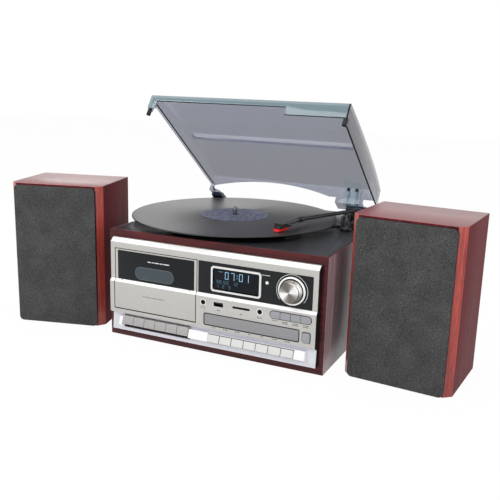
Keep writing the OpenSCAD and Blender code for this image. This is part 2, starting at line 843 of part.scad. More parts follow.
module tonearm_base() {
    color("#1b1b1d") {
        difference() {
            union() {
                translate([pivot_x, pivot_y, cab_h]) cylinder(r = arm_base_r, h = base_t);
                block([pivot_x - arm_base_r, pivot_y - 52, cab_h],
                    [pivot_x + arm_base_r, pivot_y, cab_h + base_t - 1]);
                translate([pivot_x, pivot_y, cab_h]) cylinder(r = post_r, h = base_t + post_h);
                // Ears of the cueing lever
                for (s = [-1, 1]) translate([pivot_x + 8 + s * 4, pivot_y - 30, cab_h + base_t - 1])
                    block([-1, -3, -0.5], [1, 3, 6]);
            }
            translate([pivot_x, pivot_y - 30, cab_h + base_t + 2.5]) rotate([0, 90, 0])
                cylinder(r = 1 + run_gap, h = 30);
        }
        // Rest post under the parked arm, with a prong on its outer side
        about_pivot(-arm_angle + parked_swing) translate([0, -rest_dist, 0]) {
            translate([0, 0, cab_h + base_t - 1.5])
                cylinder(r = 3, h = arm_lift - base_t - arm_r + 1.5 - 0.4);
            translate([arm_r + 1.6, 0, 0])
                block([-0.9, -2.5, cab_h + base_t - 1.5], [0.9, 2.5, cab_h + arm_lift - 0.6]);
        }
    }
}

module arm_yoke() {
    color("#161618") translate([pivot_x, pivot_y, 0]) rotate([0, 0, -arm_angle]) difference() {
        union() {
            translate([0, 0, cab_h + base_t + 0.4]) cylinder(r = yoke_r, h = post_h - 0.2);
            for (s = [-1, 1]) translate([s * (arm_hub_w / 2 + 0.4 + ear_t / 2), 0, 0])
                block([-ear_t / 2, -3.5, cab_h + base_t + 0.4], [ear_t / 2, 3.5, arm_z + 2.4]);
        }
        translate([0, 0, cab_h]) cylinder(r = post_r + run_gap, h = base_t + post_h + 0.4);
        translate([-20, 0, arm_z]) rotate([0, 90, 0]) cylinder(r = arm_pin_r + run_gap, h = 40);
    }
}

module tonearm() {
    color("#1d1d1f") {
        translate([pivot_x, pivot_y, 0]) rotate([0, 0, -arm_angle]) {
            // Hub between the yoke's ears, and its pin
            block([-arm_hub_w / 2, -5, arm_z - 2.6], [arm_hub_w / 2, 5, arm_z + 2.4]);
            translate([-arm_hub_w / 2 - ear_t - 0.4, 0, arm_z]) rotate([0, 90, 0])
                cylinder(r = arm_pin_r, h = arm_hub_w + 2 * ear_t + 0.8);
            translate([0, -4, arm_z]) rotate([90, 0, 0]) cylinder(r = arm_r, h = arm_len - 4);
        }
        // Collar where the shell plugs in
        translate([joint_xy[0], joint_xy[1], arm_z]) rotate([90, 0, -shell_angle])
            cylinder(r = arm_r + 0.9, h = 9);
    }
}

// Shell points run forward from the tube's end
module shell_place() {
    translate([joint_xy[0], joint_xy[1], 0]) rotate([0, 0, -shell_angle]) children();
}

module headshell() {
    color("#141416") shell_place() {
        // Neck that plugs into the tube's collar
        translate([0, -9, arm_z]) rotate([90, 0, 0]) cylinder(r = arm_r, h = 16);
        // Flat shell
        translate([0, -22, arm_z - 0.6]) linear_extrude(3) polygon([
            [-4, 6], [4, 6], [shell_w / 2, -2], [shell_w / 2, -shell_len + 26],
            [shell_w / 2 - 3, -shell_len + 24], [-shell_w / 2 + 3, -shell_len + 24],
            [-shell_w / 2, -shell_len + 26], [-shell_w / 2, -2]]);
        // Cartridge under its front, with a sloping nose
        pulled(-5, 5, [
            [-shell_len - 1, arm_z - cartridge_drop],
            [-shell_len + cartridge_len, arm_z - cartridge_drop],
            [-shell_len + cartridge_len, arm_z],
            [-shell_len + 8, arm_z + 2.2],
            [-shell_len - 1, arm_z - cartridge_drop + 2]]);
    }
}

module stylus() {
    guard_z0 = record_top + 0.8;
    guard_z1 = arm_z - cartridge_drop - 0.2;
    color("#d01818") shell_place() {
        // Red guard with the needle under its front
        pulled(-4.5, 4.5, [
            [-shell_len - 1.5, guard_z0 + 0.6], [-shell_len + 20, guard_z0 + 1.4],
            [-shell_len + 24, guard_z1], [-shell_len - 1.5, guard_z1]]);
        translate([0, -shell_len + 0.5, record_top + stylus_gap])
            cylinder(r1 = 0.3, r2 = 0.9, h = 1.6, $fn = 16);
    }
}

module cue_lever() {
    color("#161618") translate([pivot_x + 8, pivot_y - 30, cab_h + base_t + 2.5]) {
        rotate([0, 90, 0]) translate([0, 0, -2.6]) cylinder(r = 2.4, h = 5.2);
        block([-2.2, -17, -0.8], [2.2, 0, 1.6]);
        block([-2.2, -20, -0.8], [2.2, -15, 3.4]);
        rotate([0, 90, 0]) translate([0, 0, -4.8]) cylinder(r = 1, h = 9.6);
    }
}

module speed_selector() {
    color("#161618") translate([selector_x, selector_y, cab_h + 0.3]) {
        cylinder(r = selector_r, h = 3.5);
        block([-1.5, -7.5, 3], [1.5, 7.5, 6]);
        // Stem in the deck plate
        translate([0, 0, 0.1 - deck_t]) cylinder(r = 2, h = deck_t);
    }
}

// Dust cover

module lid_plan(inset) {
    polygon([
        [-lid_half_front + inset, lid_front_y + inset],
        [lid_half_front - inset, lid_front_y + inset],
        [lid_half_rear - inset, lid_rear_y - inset],
        [-lid_half_rear + inset, lid_rear_y - inset]]);
}

function lid_section(inset, foot) = concat(
    [[lid_front_y + inset, rim_z + foot]],
    [for (i = [0:lid_steps]) let(s = inset + (lid_len - 2 * inset) * i / lid_steps)
        [lid_front_y + s, rim_z + lid_height(s) - inset]],
    [[lid_rear_y - inset, rim_z + foot]]);

module lid_solid(inset, foot) {
    intersection() {
        translate([0, 0, rim_z + foot]) linear_extrude(lid_top_h + 5) lid_plan(inset);
        pulled(-cab_w / 2, cab_w / 2, lid_section(inset, foot));
    }
}

// What is cut from the cover's skirts, so that they clear the record
module skirt_cuts() {
    strip_z = rim_z + lid_front_h - lid_strip;
    low_z = rim_z + arch_low;
    arch_half = (arch_right_x - arch_left_x) / 2;
    arch_R = (pow(arch_half, 2) + pow(arch_rise, 2)) / (2 * arch_rise);
    // Front skirt, cut to a strip over the record, and the bays of the two bumpers
    block([-lid_half_front + lid_post, lid_front_y - 1, rim_z - 1],
        [notch_end_x, lid_front_y + lid_wall + 1, strip_z]);
    block([-lid_half_front - 1, lid_front_y - 1, rim_z - 1],
        [-lid_half_front + lid_post + 1, lid_front_y + lid_post + 1, low_z]);
    block([notch_end_x - 1, lid_front_y - 1, rim_z - 1],
        [lid_half_front + 1, lid_front_y + bumper_bay, low_z]);
    // Left skirt, cut to a slanted edge
    pulled(-lid_half_front - 1, -lid_half_rear + lid_wall + 1, [
        [lid_front_y + lid_post, rim_z - 1], [lid_front_y + lid_post, strip_z],
        [tab_y, low_z], [tab_y, rim_z - 1]]);
    // Rear skirt: an arch over the record, then a low gap on both sides of the right tab
    translate([(arch_left_x + arch_right_x) / 2, lid_rear_y + 1, rim_z]) rotate([90, 0, 0])
        linear_extrude(lid_wall + 2) intersection() {
            translate([-arch_half, -1]) square([2 * arch_half, arch_low + arch_rise + 1]);
            translate([0, arch_low + arch_rise - arch_R]) circle(arch_R, $fn = 360);
        }
    block([arch_right_x - 1, tab_y - 1, rim_z - 1], [right_tab_x0, lid_rear_y + 1, low_z]);
    block([right_tab_x1, tab_y - 1, rim_z - 1],
        [lid_half_rear - lid_wall - 1, lid_rear_y + 1, low_z]);
}

// Narrow flange inside the left skirt's lower edge
module skirt_flange() {
    strip_z = rim_z + lid_front_h - lid_strip;
    low_z = rim_z + arch_low;
    difference() {
        intersection() {
            lid_solid(0, 0);
            pulled(-lid_half_front - 1, -lid_half_rear + lid_wall + flange_w + 1, [
                [lid_front_y + lid_post - 1, strip_z],
                [lid_front_y + lid_post - 1, strip_z + flange_h],
                [tab_y + 0.5, low_z + flange_h], [tab_y + 0.5, low_z]]);
        }
        lid_solid(lid_wall + flange_w, -1);
    }
}

// Inner edge of the left tab at the depth y, which follows the record's rim
function left_tab_edge(y) =
    min(left_tab_x1, max(left_tab_x0 + 2, spindle_x - record_edge(y) - tab_air));

module left_tab() {
    steps = 6;
    translate([0, 0, tab_z]) linear_extrude(tab_t) polygon(concat(
        [[left_tab_x0, tab_end_y], [left_tab_x0, tab_y]],
        [for (i = [0:steps]) let(y = tab_y + (tab_end_y - tab_y) * i / steps) [left_tab_edge(y), y]]));
    block([left_tab_x0, tab_y, tab_z], [left_tab_x0 + 2.8, tab_end_y - 8, rim_z + 8]);
}

// Right tab, with a plate on the rear skirt and two gussets between them
module right_tab() {
    block([right_tab_x0, tab_y, tab_z], [right_tab_x1, tab_end_y, tab_z + tab_t]);
    block([right_plate_x0, tab_y + 1, tab_z], [right_plate_x1, lid_rear_y + 2.5, rim_z + lid_rear_h]);
    for (x = right_gussets) pulled(x - gusset_t / 2, x + gusset_t / 2, [
        [tab_y + 1, tab_z], [tab_end_y, tab_z], [tab_end_y, tab_z + tab_t + 3],
        [lid_rear_y + 4, rim_z + lid_rear_h - 0.5], [tab_y + 1, rim_z + lid_rear_h - 0.5]]);
}

module dust_cover() {
    rib_z1 = rim_z + lid_top_h - 2;
    rib_y0 = lid_front_y + roof_rib_back;
    color(smoke) lid_turn() {
        difference() {
            lid_solid(0, 0);
            lid_solid(lid_wall, -1);
            skirt_cuts();
        }
        skirt_flange();
        left_tab();
        right_tab();
        // Rib across the roof
        block([-lid_half_rear + 14, rib_y0, rib_z1 - roof_rib_drop],
            [lid_half_rear - 18, rib_y0 + roof_rib_w, rib_z1]);
    }
}

module knuckle(x, w, x0, x1, gussets) {
    difference() {
        union() {
            translate([x - w / 2, hinge_y, hinge_z]) rotate([0, 90, 0]) cylinder(r = knuckle_r, h = w);
            block([x - w / 2, hinge_y - 18, cab_h + 0.4], [x + w / 2, hinge_y, cab_h + 6.6]);
        }
        translate([x - w / 2 - 1, hinge_y, hinge_z]) rotate([0, 90, 0])
            cylinder(r = hinge_pin_r + run_gap, h = w + 2);
        // Slots for the cover's tab and its gussets
        block([x0 - fit, hinge_y - 19, tab_z - fit / 2], [x1 + fit, tab_end_y + fit, tab_z + tab_t + fit]);
        for (xr = gussets)
            block([xr - gusset_t / 2 - fit, hinge_y - 19, tab_z],
                [xr + gusset_t / 2 + fit, tab_end_y + fit, cab_h + 8]);
    }
}

module hinge_knuckles() {
    color("#121212") lid_turn() {
        knuckle(left_knuckle_x, knuckle_w, left_tab_x0, left_tab_x1, []);
        knuckle(right_knuckle_x, right_knuckle_w, right_tab_x0, right_tab_x1, right_gussets);
    }
}

module hinge_block(x, w) {
    reach = w / 2 + knuckle_gap + cheek_t;
    floor_z = cab_h - notch_depth;
    block([x - reach, notch_front_y + fit, floor_z], [x + reach, back_y, floor_z + hinge_base_t]);
    for (s = [-1, 1]) translate([x + s * (w / 2 + knuckle_gap + cheek_t / 2), 0, 0]) {
        block([-cheek_t / 2, notch_front_y + fit, floor_z], [cheek_t / 2, back_y, cab_h + 1]);
        translate([-cheek_t / 2, hinge_y, hinge_z]) rotate([0, 90, 0])
            cylinder(r = knuckle_r + 1, h = cheek_t);
    }
    translate([x - w / 2 - knuckle_gap - 1, hinge_y, hinge_z]) rotate([0, 90, 0])
        cylinder(r = hinge_pin_r, h = w + 2 * knuckle_gap + 2);
}

module hinge_blocks() {
    color("#121212") {
        hinge_block(left_knuckle_x, knuckle_w);
        hinge_block(right_knuckle_x, right_knuckle_w);
    }
}

module lid_bumpers() {
    bumper_drop = lid_gap - 0.4;
    side = lid_half_front - bumper_r - fit;
    color("#0c0c0c") lid_turn() for (x = [-side, side])
        translate([x, lid_front_y + bumper_r + fit, rim_z - bumper_drop])
            cylinder(r = bumper_r, h = bumper_drop + arch_low);
}

// Tape deck

module tape_door() {
    pocket_z0 = 60;
    pocket_z1 = door_z1 - 4;
    inner_y = upper_y + door_t;
    color(silver) difference() {
        union() {
            pulled(door_x - door_w / 2, door_x + door_w / 2, [
                [mid_y, door_z0], [mid_y, ledge_z], [upper_y, ledge_top], [upper_y, door_z1],
                [upper_y + door_t, door_z1], [upper_y + door_t, ledge_top],
                [mid_y + door_t, ledge_z], [mid_y + door_t, door_z0]]);
            // Pocket rails for the cassette
            for (s = [-1, 1]) {
                block([door_x + s * (cassette_w / 2 + 1) - 1, mid_y + door_t - 1, pocket_z0],
                    [door_x + s * (cassette_w / 2 + 1) + 1, inner_y + rail_depth, pocket_z1]);
                block([door_x + s * (cassette_w / 2 - 1) - 3, inner_y + rail_depth - 1.5, pocket_z0],
                    [door_x + s * (cassette_w / 2 - 1) + 3, inner_y + rail_depth, pocket_z1]);
                block([door_x + s * (cassette_w / 2 - 3) - 5, mid_y + door_t - 1, pocket_z0 - 1.5],
                    [door_x + s * (cassette_w / 2 - 3) + 5, inner_y + rail_depth, pocket_z0]);
            }
        }
        // Window, with a rebate that its plate sits in
        front_plate(door_x, (window_z0 + window_z1) / 2, door_w - 2 * window_rim,
            window_z1 - window_z0, 1, upper_y + window_t + 0.2, 6);
        front_plate(door_x, (window_z0 + window_z1) / 2, door_w - 2 * window_rim - 4,
            window_z1 - window_z0 - 4, 1, upper_y + 8, 12);
    }
    // Hinge pins at the foot
    color(silver) for (s = [-1, 1])
        translate([door_x + s * (door_w / 2 - 3), mid_y + door_axis_in, door_z0 + door_axis_up])
            rotate([0, 90 * s, 0]) cylinder(r = door_pin_r, h = 3 + door_gap + door_pin_len);
}

module tape_window() {
    color("#1d1f22") front_plate(door_x, (window_z0 + window_z1) / 2,
        door_w - 2 * window_rim - 2 * fit, window_z1 - window_z0 - 2 * fit, 0.8,
        upper_y + window_t + 0.2, window_t);
}

module tape_mechanism() {
    bracket_y1 = key_pivot_y + 6;
    left_x0 = key_x0 - 6;
    right_x1 = key_x0 + key_count * key_pitch + 6;
    color("#3c3c40") difference() {
        union() {
            // Chassis plate on two side brackets that stand on the bottom board
            block([left_x0, mech_y, key_z1 + 6], [right_x1, mech_y + mech_t, door_z1]);
            for (x = [left_x0, right_x1 - 4])
                block([x, mech_y, bottom_t], [x + 4, bracket_y1, key_z1 + 14]);
            block([left_x0, mech_y, bottom_t], [left_x0 + 14, bracket_y1, bottom_t + 2.5]);
            block([right_x1 - 14, mech_y, bottom_t], [right_x1, bracket_y1, bottom_t + 2.5]);
            // Rod that the keys turn on
            translate([left_x0 + 2, key_pivot_y, key_pivot_z]) rotate([0, 90, 0])
                cylinder(r = key_rod_r, h = right_x1 - left_x0 - 4);
            // Reel bearings, heads, flywheel and motor
            for (s = [-1, 1])
                front_rod(door_x + s * reel_pitch / 2, reel_z, 5, mech_y + 10, 14);
            front_plate(door_x, 65, 24, 9, 1, mech_y + 1, 9);
            front_rod(door_x + 10, 74, 1.2, mech_y + 1, 11);
            front_rod(door_x - 24, 68, 20, mech_y + mech_t + 9, 10);
            front_rod(door_x + 30, 66, 15, mech_y + mech_t + 24, 25);
        }
        for (s = [-1, 1])
            front_rod(door_x + s * reel_pitch / 2, reel_z, reel_shaft_r + run_gap, mech_y + 20, 40);
    }
}

module reel_hub(x) {
    color("#e4e4e0") {
        front_rod(x, reel_z, reel_r, mech_y - 4.4, mech_y - 4.4 - reel_front_y);
        for (a = [0, 120, 240]) translate([x, 0, reel_z]) rotate([0, a, 0])
            block([-0.7, reel_front_y, 0], [0.7, mech_y - 4.4, reel_r + 1.2]);
        front_rod(x, reel_z, reel_shaft_r, mech_y + 8, 14);
    }
}

module tape_key(i) {
    w = key_pitch - key_gap;
    x = tape_key_x(i);
    slope = 3.4;
    key_foot_proud = 13.4;
    color("#b9b8b6") difference() {
        union() {
            pulled(x - w / 2, x + w / 2, [
                [front_y - key_foot_proud, key_z0], [front_y - key_foot_proud + slope, key_z1],
                [front_y - 2, key_z1], [front_y - 2, key_z0]]);
            // Lever back to the rod
            block([x - 3, front_y - 3, key_pivot_z - 2.5], [x + 3, key_pivot_y, key_pivot_z + 2.5]);
            translate([x - 4, key_pivot_y, key_pivot_z]) rotate([0, 90, 0]) cylinder(r = 3.6, h = 8);
        }
        translate([x - 10, key_pivot_y, key_pivot_z]) rotate([0, 90, 0])
            cylinder(r = key_rod_r + run_gap, h = 20);
    }
}

module tape_key_1() { tape_key(1); }
module tape_key_2() { tape_key(2); }
module tape_key_3() { tape_key(3); }
module tape_key_4() { tape_key(4); }
module tape_key_5() { tape_key(5); }
module tape_key_6() { tape_key(6); }

module reel_hub_left() { reel_hub(door_x - reel_pitch / 2); }
module reel_hub_right() { reel_hub(door_x + reel_pitch / 2); }

// Disc drawer

module disc_tray() {
    color("#a6a6a8") {
        front_plate(tray_x, tray_z, tray_w, tray_h, tray_corner, mid_y + tray_front_t, tray_front_t);
        difference() {
            block([tray_x - tray_bed_w / 2, mid_y + tray_front_t - 0.5, tray_bed_z0],
                [tray_x + tray_bed_w / 2, mid_y + tray_d, tray_bed_z0 + tray_bed_t]);
            translate([tray_x, disc_y, tray_bed_z0 + tray_bed_t - disc_sink])
                cylinder(r = disc_r, h = disc_sink + 1, $fn = 96);
            block([tray_x - slot_w / 2, disc_y, tray_bed_z0 - 1],
                [tray_x + slot_w / 2, mid_y + tray_d + 1, tray_bed_z0 + tray_bed_t + 1]);
            translate([tray_x, disc_y, tray_bed_z0 - 1]) cylinder(r = slot_w / 2, h = 20);
        }
    }
}

module disc_loader() {
    y0 = board_y + board_t + 1;
    y1 = mid_y + tray_d + 6;
    top_z = tray_bed_z0 + tray_bed_t + 2.5;
    color("#4a4a4e") difference() {
        union() {
            for (s = [-1, 1]) translate([tray_x + s * (tray_bed_w / 2 + slide_gap + guide_t / 2), 0, 0])
                block([-guide_t / 2, y0, tray_bed_z0 - 2.5], [guide_t / 2, y1, top_z]);
            // Lips above and below the drawer's edges
            for (s = [-1, 1], z = [tray_bed_z0 - 2.5, top_z - 2])
                translate([tray_x + s * (tray_bed_w / 2 + slide_gap - 2), 0, z])
                    block([-2.5, y0, 0], [2.5, y1, 2]);
            // Cross members, bridge and legs
            block([tray_x - tray_bed_w / 2 - 2, disc_y - 20, tray_bed_z0 - 6],
                [tray_x + tray_bed_w / 2 + 2, disc_y + 20, tray_bed_z0 - 2.4]);
            block([tray_x - tray_bed_w / 2 - 2, disc_y - 12, top_z - 0.1],
                [tray_x + tray_bed_w / 2 + 2, disc_y + 12, top_z + 3]);
            for (sx = [-1, 1], y = [disc_y - 20, disc_y + 12])
                translate([tray_x + sx * (tray_bed_w / 2 - 6), y, 0])
                    block([-4, 0, bottom_t], [4, 8, tray_bed_z0 - 5]);
            translate([tray_x, disc_y, bottom_t + 8]) cylinder(r = 13, h = tray_bed_z0 - 3 - bottom_t - 8);
        }
        translate([tray_x, disc_y, tray_bed_z0 - 16]) cylinder(r = hub_shaft_r + run_gap, h = 40);
    }
}

module disc_hub() {
    floor_z = tray_bed_z0 + tray_bed_t - disc_sink;
    color("#d9d9d6") translate([tray_x, disc_y, 0]) {
        translate([0, 0, tray_bed_z0 - 12]) cylinder(r = hub_shaft_r, h = floor_z - tray_bed_z0 + 13);
        translate([0, 0, floor_z - 1.2]) cylinder(r = hub_r, h = 1.4);
        translate([0, 0, floor_z]) cylinder(r1 = 7.4, r2 = 6.4, h = 2.2);
    }
}

// Buttons

// A cap in its hole, with a stem towards the board
module button(x, z, w, h, r, face_y, travel) {
    stem_end = board_y - travel - 0.3;
    cap_depth = 5;
    front_plate(x, z, w, h, r, face_y + cap_depth, cap_depth);
    front_plate(x, z, min(w, h) * 0.5, min(w, h) * 0.5, 0.5, stem_end, stem_end - face_y - 1);
}

module mode_button(i) {
    w = mode_w / mode_count - key_gap;
    x = mode_button_x(i);
    color("#bcbcc0") intersection() {
        button(x, mode_z, w, mode_h, 0.4, mid_y - 0.8, 1.2);
        front_plate(mode_x, mode_z, mode_w, mode_h, mode_h / 2 - 0.1, board_y, 40);
    }
}

module play_button(i) {
    w = key_pitch - key_gap - 0.2;
    x = play_button_x(i);
    z0 = play_z - play_h / 2;
    z1 = play_z + play_h / 2;
    stem_end = board_y - play_travel - 0.3;
    color("#eeeeea") {
        pulled(x - w / 2, x + w / 2, [
            [front_y - 3, z0], [front_y - rail_face(z0) - play_proud, z0],
            [front_y - rail_face(z1) - play_proud, z1], [front_y - 3, z1]]);
        front_plate(x, play_z, 5, 5, 0.5, stem_end, stem_end - front_y + 4);
    }
}

module mode_button_1() { mode_button(1); }
module mode_button_2() { mode_button(2); }
module mode_button_3() { mode_button(3); }
module mode_button_4() { mode_button(4); }
module play_button_1() { play_button(1); }
module play_button_2() { play_button(2); }
module play_button_3() { play_button(3); }
module play_button_4() { play_button(4); }
module play_button_5() { play_button(5); }
module play_button_6() { play_button(6); }
module play_button_7() { play_button(7); }

module power_button() {
    color("#b4b4b8") button(power_x, power_z, power_w, power_h, 1.8, mid_y - 1.6, 3);
}

// Inside

amp_at = [-inner_w / 2 + 31.5, back_y - 110, bottom_t + 6];
amp_size = [140, 85, 1.6];
amp_top = amp_at[2] + amp_size[2];
fin_count = 5;
fin_pitch = 7;
fin_size = [3, 40, 26.4];
capacitor_r = 7;
capacitor_h = 22;
capacitor_places = [[80, 30], [98, 30], [80, 55], [120, 60]];
core_size = [54, 44, 44];
winding_size = [38, 60, 28];
core_at = [inner_w / 2 - 101.5, back_y - 90, bottom_t];

module amplifier_board() {
    color(board_green) translate(amp_at) cube(amp_size);
    color(steel) for (x = [8, amp_size[0] - 8], y = [8, amp_size[1] - 8])
        translate([amp_at[0] + x, amp_at[1] + y, bottom_t]) cylinder(r = 3, h = amp_at[2] - bottom_t);
    // Heat sink and capacitors
    color("#303034") translate([amp_at[0] + 20, amp_at[1] + 20, amp_top]) {
        for (i = [0:fin_count - 1]) translate([i * fin_pitch, 0, 0]) cube(fin_size);
        translate([-2, 0, 0]) cube([fin_count * fin_pitch - 1, fin_size[1], 3.4]);
    }
    color("#22405c") for (p = capacitor_places)
        translate([amp_at[0] + p[0], amp_at[1] + p[1], amp_top])
            cylinder(r = capacitor_r, h = capacitor_h);
    // Mains transformer: its core stands on the bottom board, round the winding
    color("#6b6b70") translate(core_at) cube(core_size);
    color("#9a6a3a")
        translate(core_at + (core_size - winding_size) / 2) cube(winding_size);
}

// Speakers

module speaker_place(left) {
    translate([left ? left_x : right_x, left ? left_y : right_y, table_z])
        rotate([0, 0, left ? left_turn : right_turn]) children();
}

driver_z = spk_h * 0.46;
peg_r = 3;
peg_len = 7;
peg_x = spk_w / 2 - grille_side - 9;

module peg_places() {
    for (sx = [-1, 1], z = [24, spk_h - 24]) translate([sx * peg_x, 0, z]) children();
}

module speaker_cabinet() {
    box_y = grille_t;
    color(mahogany) difference() {
        linear_extrude(spk_h) polygon([
            [-spk_w / 2, box_y + spk_bevel], [-spk_w / 2 + spk_bevel, box_y],
            [spk_w / 2 - spk_bevel, box_y], [spk_w / 2, box_y + spk_bevel],
            [spk_w / 2, box_y + spk_d], [-spk_w / 2, box_y + spk_d]]);
        block([-spk_w / 2 + spk_wall, box_y + spk_wall + spk_bevel / 2, spk_wall],
            [spk_w / 2 - spk_wall, box_y + spk_d - spk_wall, spk_h - spk_wall]);
        front_rod(0, driver_z, driver_r - 5, box_y + spk_wall + spk_bevel, 40);
        // Rebate that the driver's rim sits in
        front_rod(0, driver_z, driver_r + fit, box_y + 3, 20);
        peg_places() translate([0, box_y + peg_len + 1, 0]) rotate([90, 0, 0])
            cylinder(r = peg_r + run_gap, h = 20);
        // Terminal recess at the back
        front_rod(0, 45, 16, box_y + spk_d + 1, 5);
    }
    color("#202020") front_rod(0, 45, 16, box_y + spk_d - 3.99, 1);
}

module driver() {
    face = grille_t + 3;
    color("#2b2b2d") translate([0, face, driver_z]) rotate([-90, 0, 0]) {
        // Rim, cone, dust cap, basket and magnet, front face at zero, depth along z
        rotate_extrude() polygon([
            [0, 12], [10, 10], [14, 14], [driver_r - 12, 3], [driver_r - 8, 1],
            [driver_r - 4, -2], [driver_r, -2], [driver_r, 0], [driver_r - 6, 0],
            [driver_r - 12, 8], [30, 26], [30, 44], [0, 44]]);
    }
}

module grille() {
    w = spk_w - 2 * grille_side;
    h = spk_h - grille_top - 1;
    air = 3.2;
    color("#3f4144") {
        difference() {
            front_plate(0, h / 2 + 1, w, h, grille_corner, grille_t, grille_t);
            front_rod(0, driver_z, driver_r + 1, grille_t + 1, grille_t - air + 1);
        }
        peg_places() translate([0, grille_t + peg_len, 0]) rotate([90, 0, 0])
            cylinder(r = peg_r, h = peg_len + 2);
    }
}

module left_speaker_cabinet() { speaker_place(true) speaker_cabinet(); }
module left_driver() { speaker_place(true) driver(); }
module left_grille() { speaker_place(true) grille(); }
module right_speaker_cabinet() { speaker_place(false) speaker_cabinet(); }
module right_driver() { speaker_place(false) driver(); }
module right_grille() { speaker_place(false) grille(); }

cabinet();
back_panel();
feet();
fascia();
display_panel();
display_window();
control_board();
deck_plate();
hinge_blocks();
platter_motor();
tonearm_base();
tape_mechanism();
disc_loader();
amplifier_board();
jack_sockets();
drive_belt();
platter();
spindle();
record();
motor_pulley();
arm_yoke();
tonearm();
headshell();
stylus();
cue_lever();
speed_selector();
dust_cover();
hinge_knuckles();
lid_bumpers();
tape_door();
tape_window();
reel_hub_left();
reel_hub_right();
tape_key_1();
tape_key_2();
tape_key_3();
tape_key_4();
tape_key_5();
tape_key_6();
disc_tray();
disc_hub();
mode_button_1();
mode_button_2();
mode_button_3();
mode_button_4();
play_button_1();
play_button_2();
play_button_3();
play_button_4();
play_button_5();
play_button_6();
play_button_7();
power_button();
volume_knob();
left_speaker_cabinet();
left_driver();
left_grille();
right_speaker_cabinet();
right_driver();
right_grille();
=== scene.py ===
"""Looks of a stereo music centre: record player, tape deck, disc drawer and two wooden speakers."""

import json
import math

import bpy
from mathutils import Matrix, Vector

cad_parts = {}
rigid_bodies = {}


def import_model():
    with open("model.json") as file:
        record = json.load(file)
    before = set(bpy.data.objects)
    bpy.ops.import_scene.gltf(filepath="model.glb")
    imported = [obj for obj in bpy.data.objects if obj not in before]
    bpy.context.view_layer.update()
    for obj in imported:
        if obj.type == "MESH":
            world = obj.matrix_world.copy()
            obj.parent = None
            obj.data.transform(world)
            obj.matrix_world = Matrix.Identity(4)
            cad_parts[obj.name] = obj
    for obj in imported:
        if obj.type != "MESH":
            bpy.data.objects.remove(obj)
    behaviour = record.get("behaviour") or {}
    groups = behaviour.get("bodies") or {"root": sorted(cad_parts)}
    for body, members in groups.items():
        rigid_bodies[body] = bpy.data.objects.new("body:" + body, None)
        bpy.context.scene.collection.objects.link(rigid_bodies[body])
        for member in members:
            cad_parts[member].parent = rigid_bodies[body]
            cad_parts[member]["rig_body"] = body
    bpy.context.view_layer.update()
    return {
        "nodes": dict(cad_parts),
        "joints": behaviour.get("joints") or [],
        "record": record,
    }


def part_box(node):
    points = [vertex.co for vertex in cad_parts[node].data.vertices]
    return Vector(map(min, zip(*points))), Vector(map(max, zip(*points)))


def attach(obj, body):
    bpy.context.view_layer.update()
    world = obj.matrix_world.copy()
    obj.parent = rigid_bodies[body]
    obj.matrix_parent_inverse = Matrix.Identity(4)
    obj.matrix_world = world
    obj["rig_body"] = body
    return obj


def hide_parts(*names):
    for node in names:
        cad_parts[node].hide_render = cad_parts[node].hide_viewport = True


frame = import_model()

MM = 0.001
NODES = frame["nodes"]
MOUNTS = {row["name"]: Vector(row["pos_m"]) for row in frame["record"]["mounts"]}
JOINTS = {row["name"]: row for row in frame["joints"]}

# Planes and centres that the new pieces are placed by, from the frame
TABLE_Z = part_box("feet")[0].z
SPINDLE = (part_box("spindle")[0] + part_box("spindle")[1]) / 2
RECORD_LOW, RECORD_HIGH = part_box("record")
RECORD_R = (RECORD_HIGH.x - RECORD_LOW.x) / 2
MID_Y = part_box("tape_door")[0].y
PANEL_LOW, PANEL_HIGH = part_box("display_panel")
LEDGE_FOOT, LEDGE_TOP = PANEL_LOW.z - 4.4 * MM, PANEL_LOW.z + 0.3 * MM
WINDOW_LOW, WINDOW_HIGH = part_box("display_window")
UPPER_Y = MID_Y + 3 * MM
PANE_LOW, PANE_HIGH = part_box("tape_window")
DOOR_LOW, DOOR_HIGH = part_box("tape_door")
TRAY_LOW, TRAY_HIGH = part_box("disc_tray")
FASCIA_LOW, FASCIA_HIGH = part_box("fascia")
BACK_LOW, BACK_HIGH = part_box("back_panel")
KNOB_LOW, KNOB_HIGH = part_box("volume_knob")
KNOB_CENTRE = (KNOB_LOW + KNOB_HIGH) / 2
HINGE = Vector(JOINTS["cover_hinge"]["pos_m"])
PIVOT = Vector(JOINTS["arm_lift"]["pos_m"])
FRONT = Vector((0, -1, 0))
REAR = Vector((0, 1, 0))
UP = Vector((0, 0, 1))

# The cover's opening angle, and the front centre and turn of the speakers and of the cartridge shell,
# as in the part
COVER_OPEN = math.radians(35)
SPEAKERS = {"left": (Vector((-252, -154, 0)) * MM, math.radians(15)),
            "right": (Vector((244.5, -137, 0)) * MM, math.radians(-5))}
SPEAKER_DEPTH = 117 * MM
SHELL_TURN = math.radians(-11.4)
SHELL_ROOT = Vector((78.84, -31.02, 0)) * MM


# Tools of the bench

def put_down():
    """Leaves edit mode with nothing selected."""
    if bpy.context.mode != "OBJECT":
        bpy.ops.object.mode_set(mode="OBJECT")
    bpy.ops.object.select_all(action="DESELECT")


def take(piece):
    """Selects one piece alone."""
    put_down()
    piece.select_set(True)
    bpy.context.view_layer.objects.active = piece
    return piece


def edit(piece):
    """Opens one piece in edit mode with all of it selected."""
    take(piece)
    bpy.ops.object.mode_set(mode="EDIT")
    bpy.ops.mesh.select_all(action="SELECT")


def settle(piece):
    """Puts the piece's place, turn and size into its mesh."""
    take(piece)
    bpy.ops.object.transform_apply(location=True, rotation=True, scale=True)
    return piece


def place(piece, location, turn=0.0):
    """Turns a piece about the vertical, moves it to its place and settles it there."""
    piece.matrix_world = Matrix.Translation(location) @ Matrix.Rotation(turn, 4, "Z")
    return settle(piece)


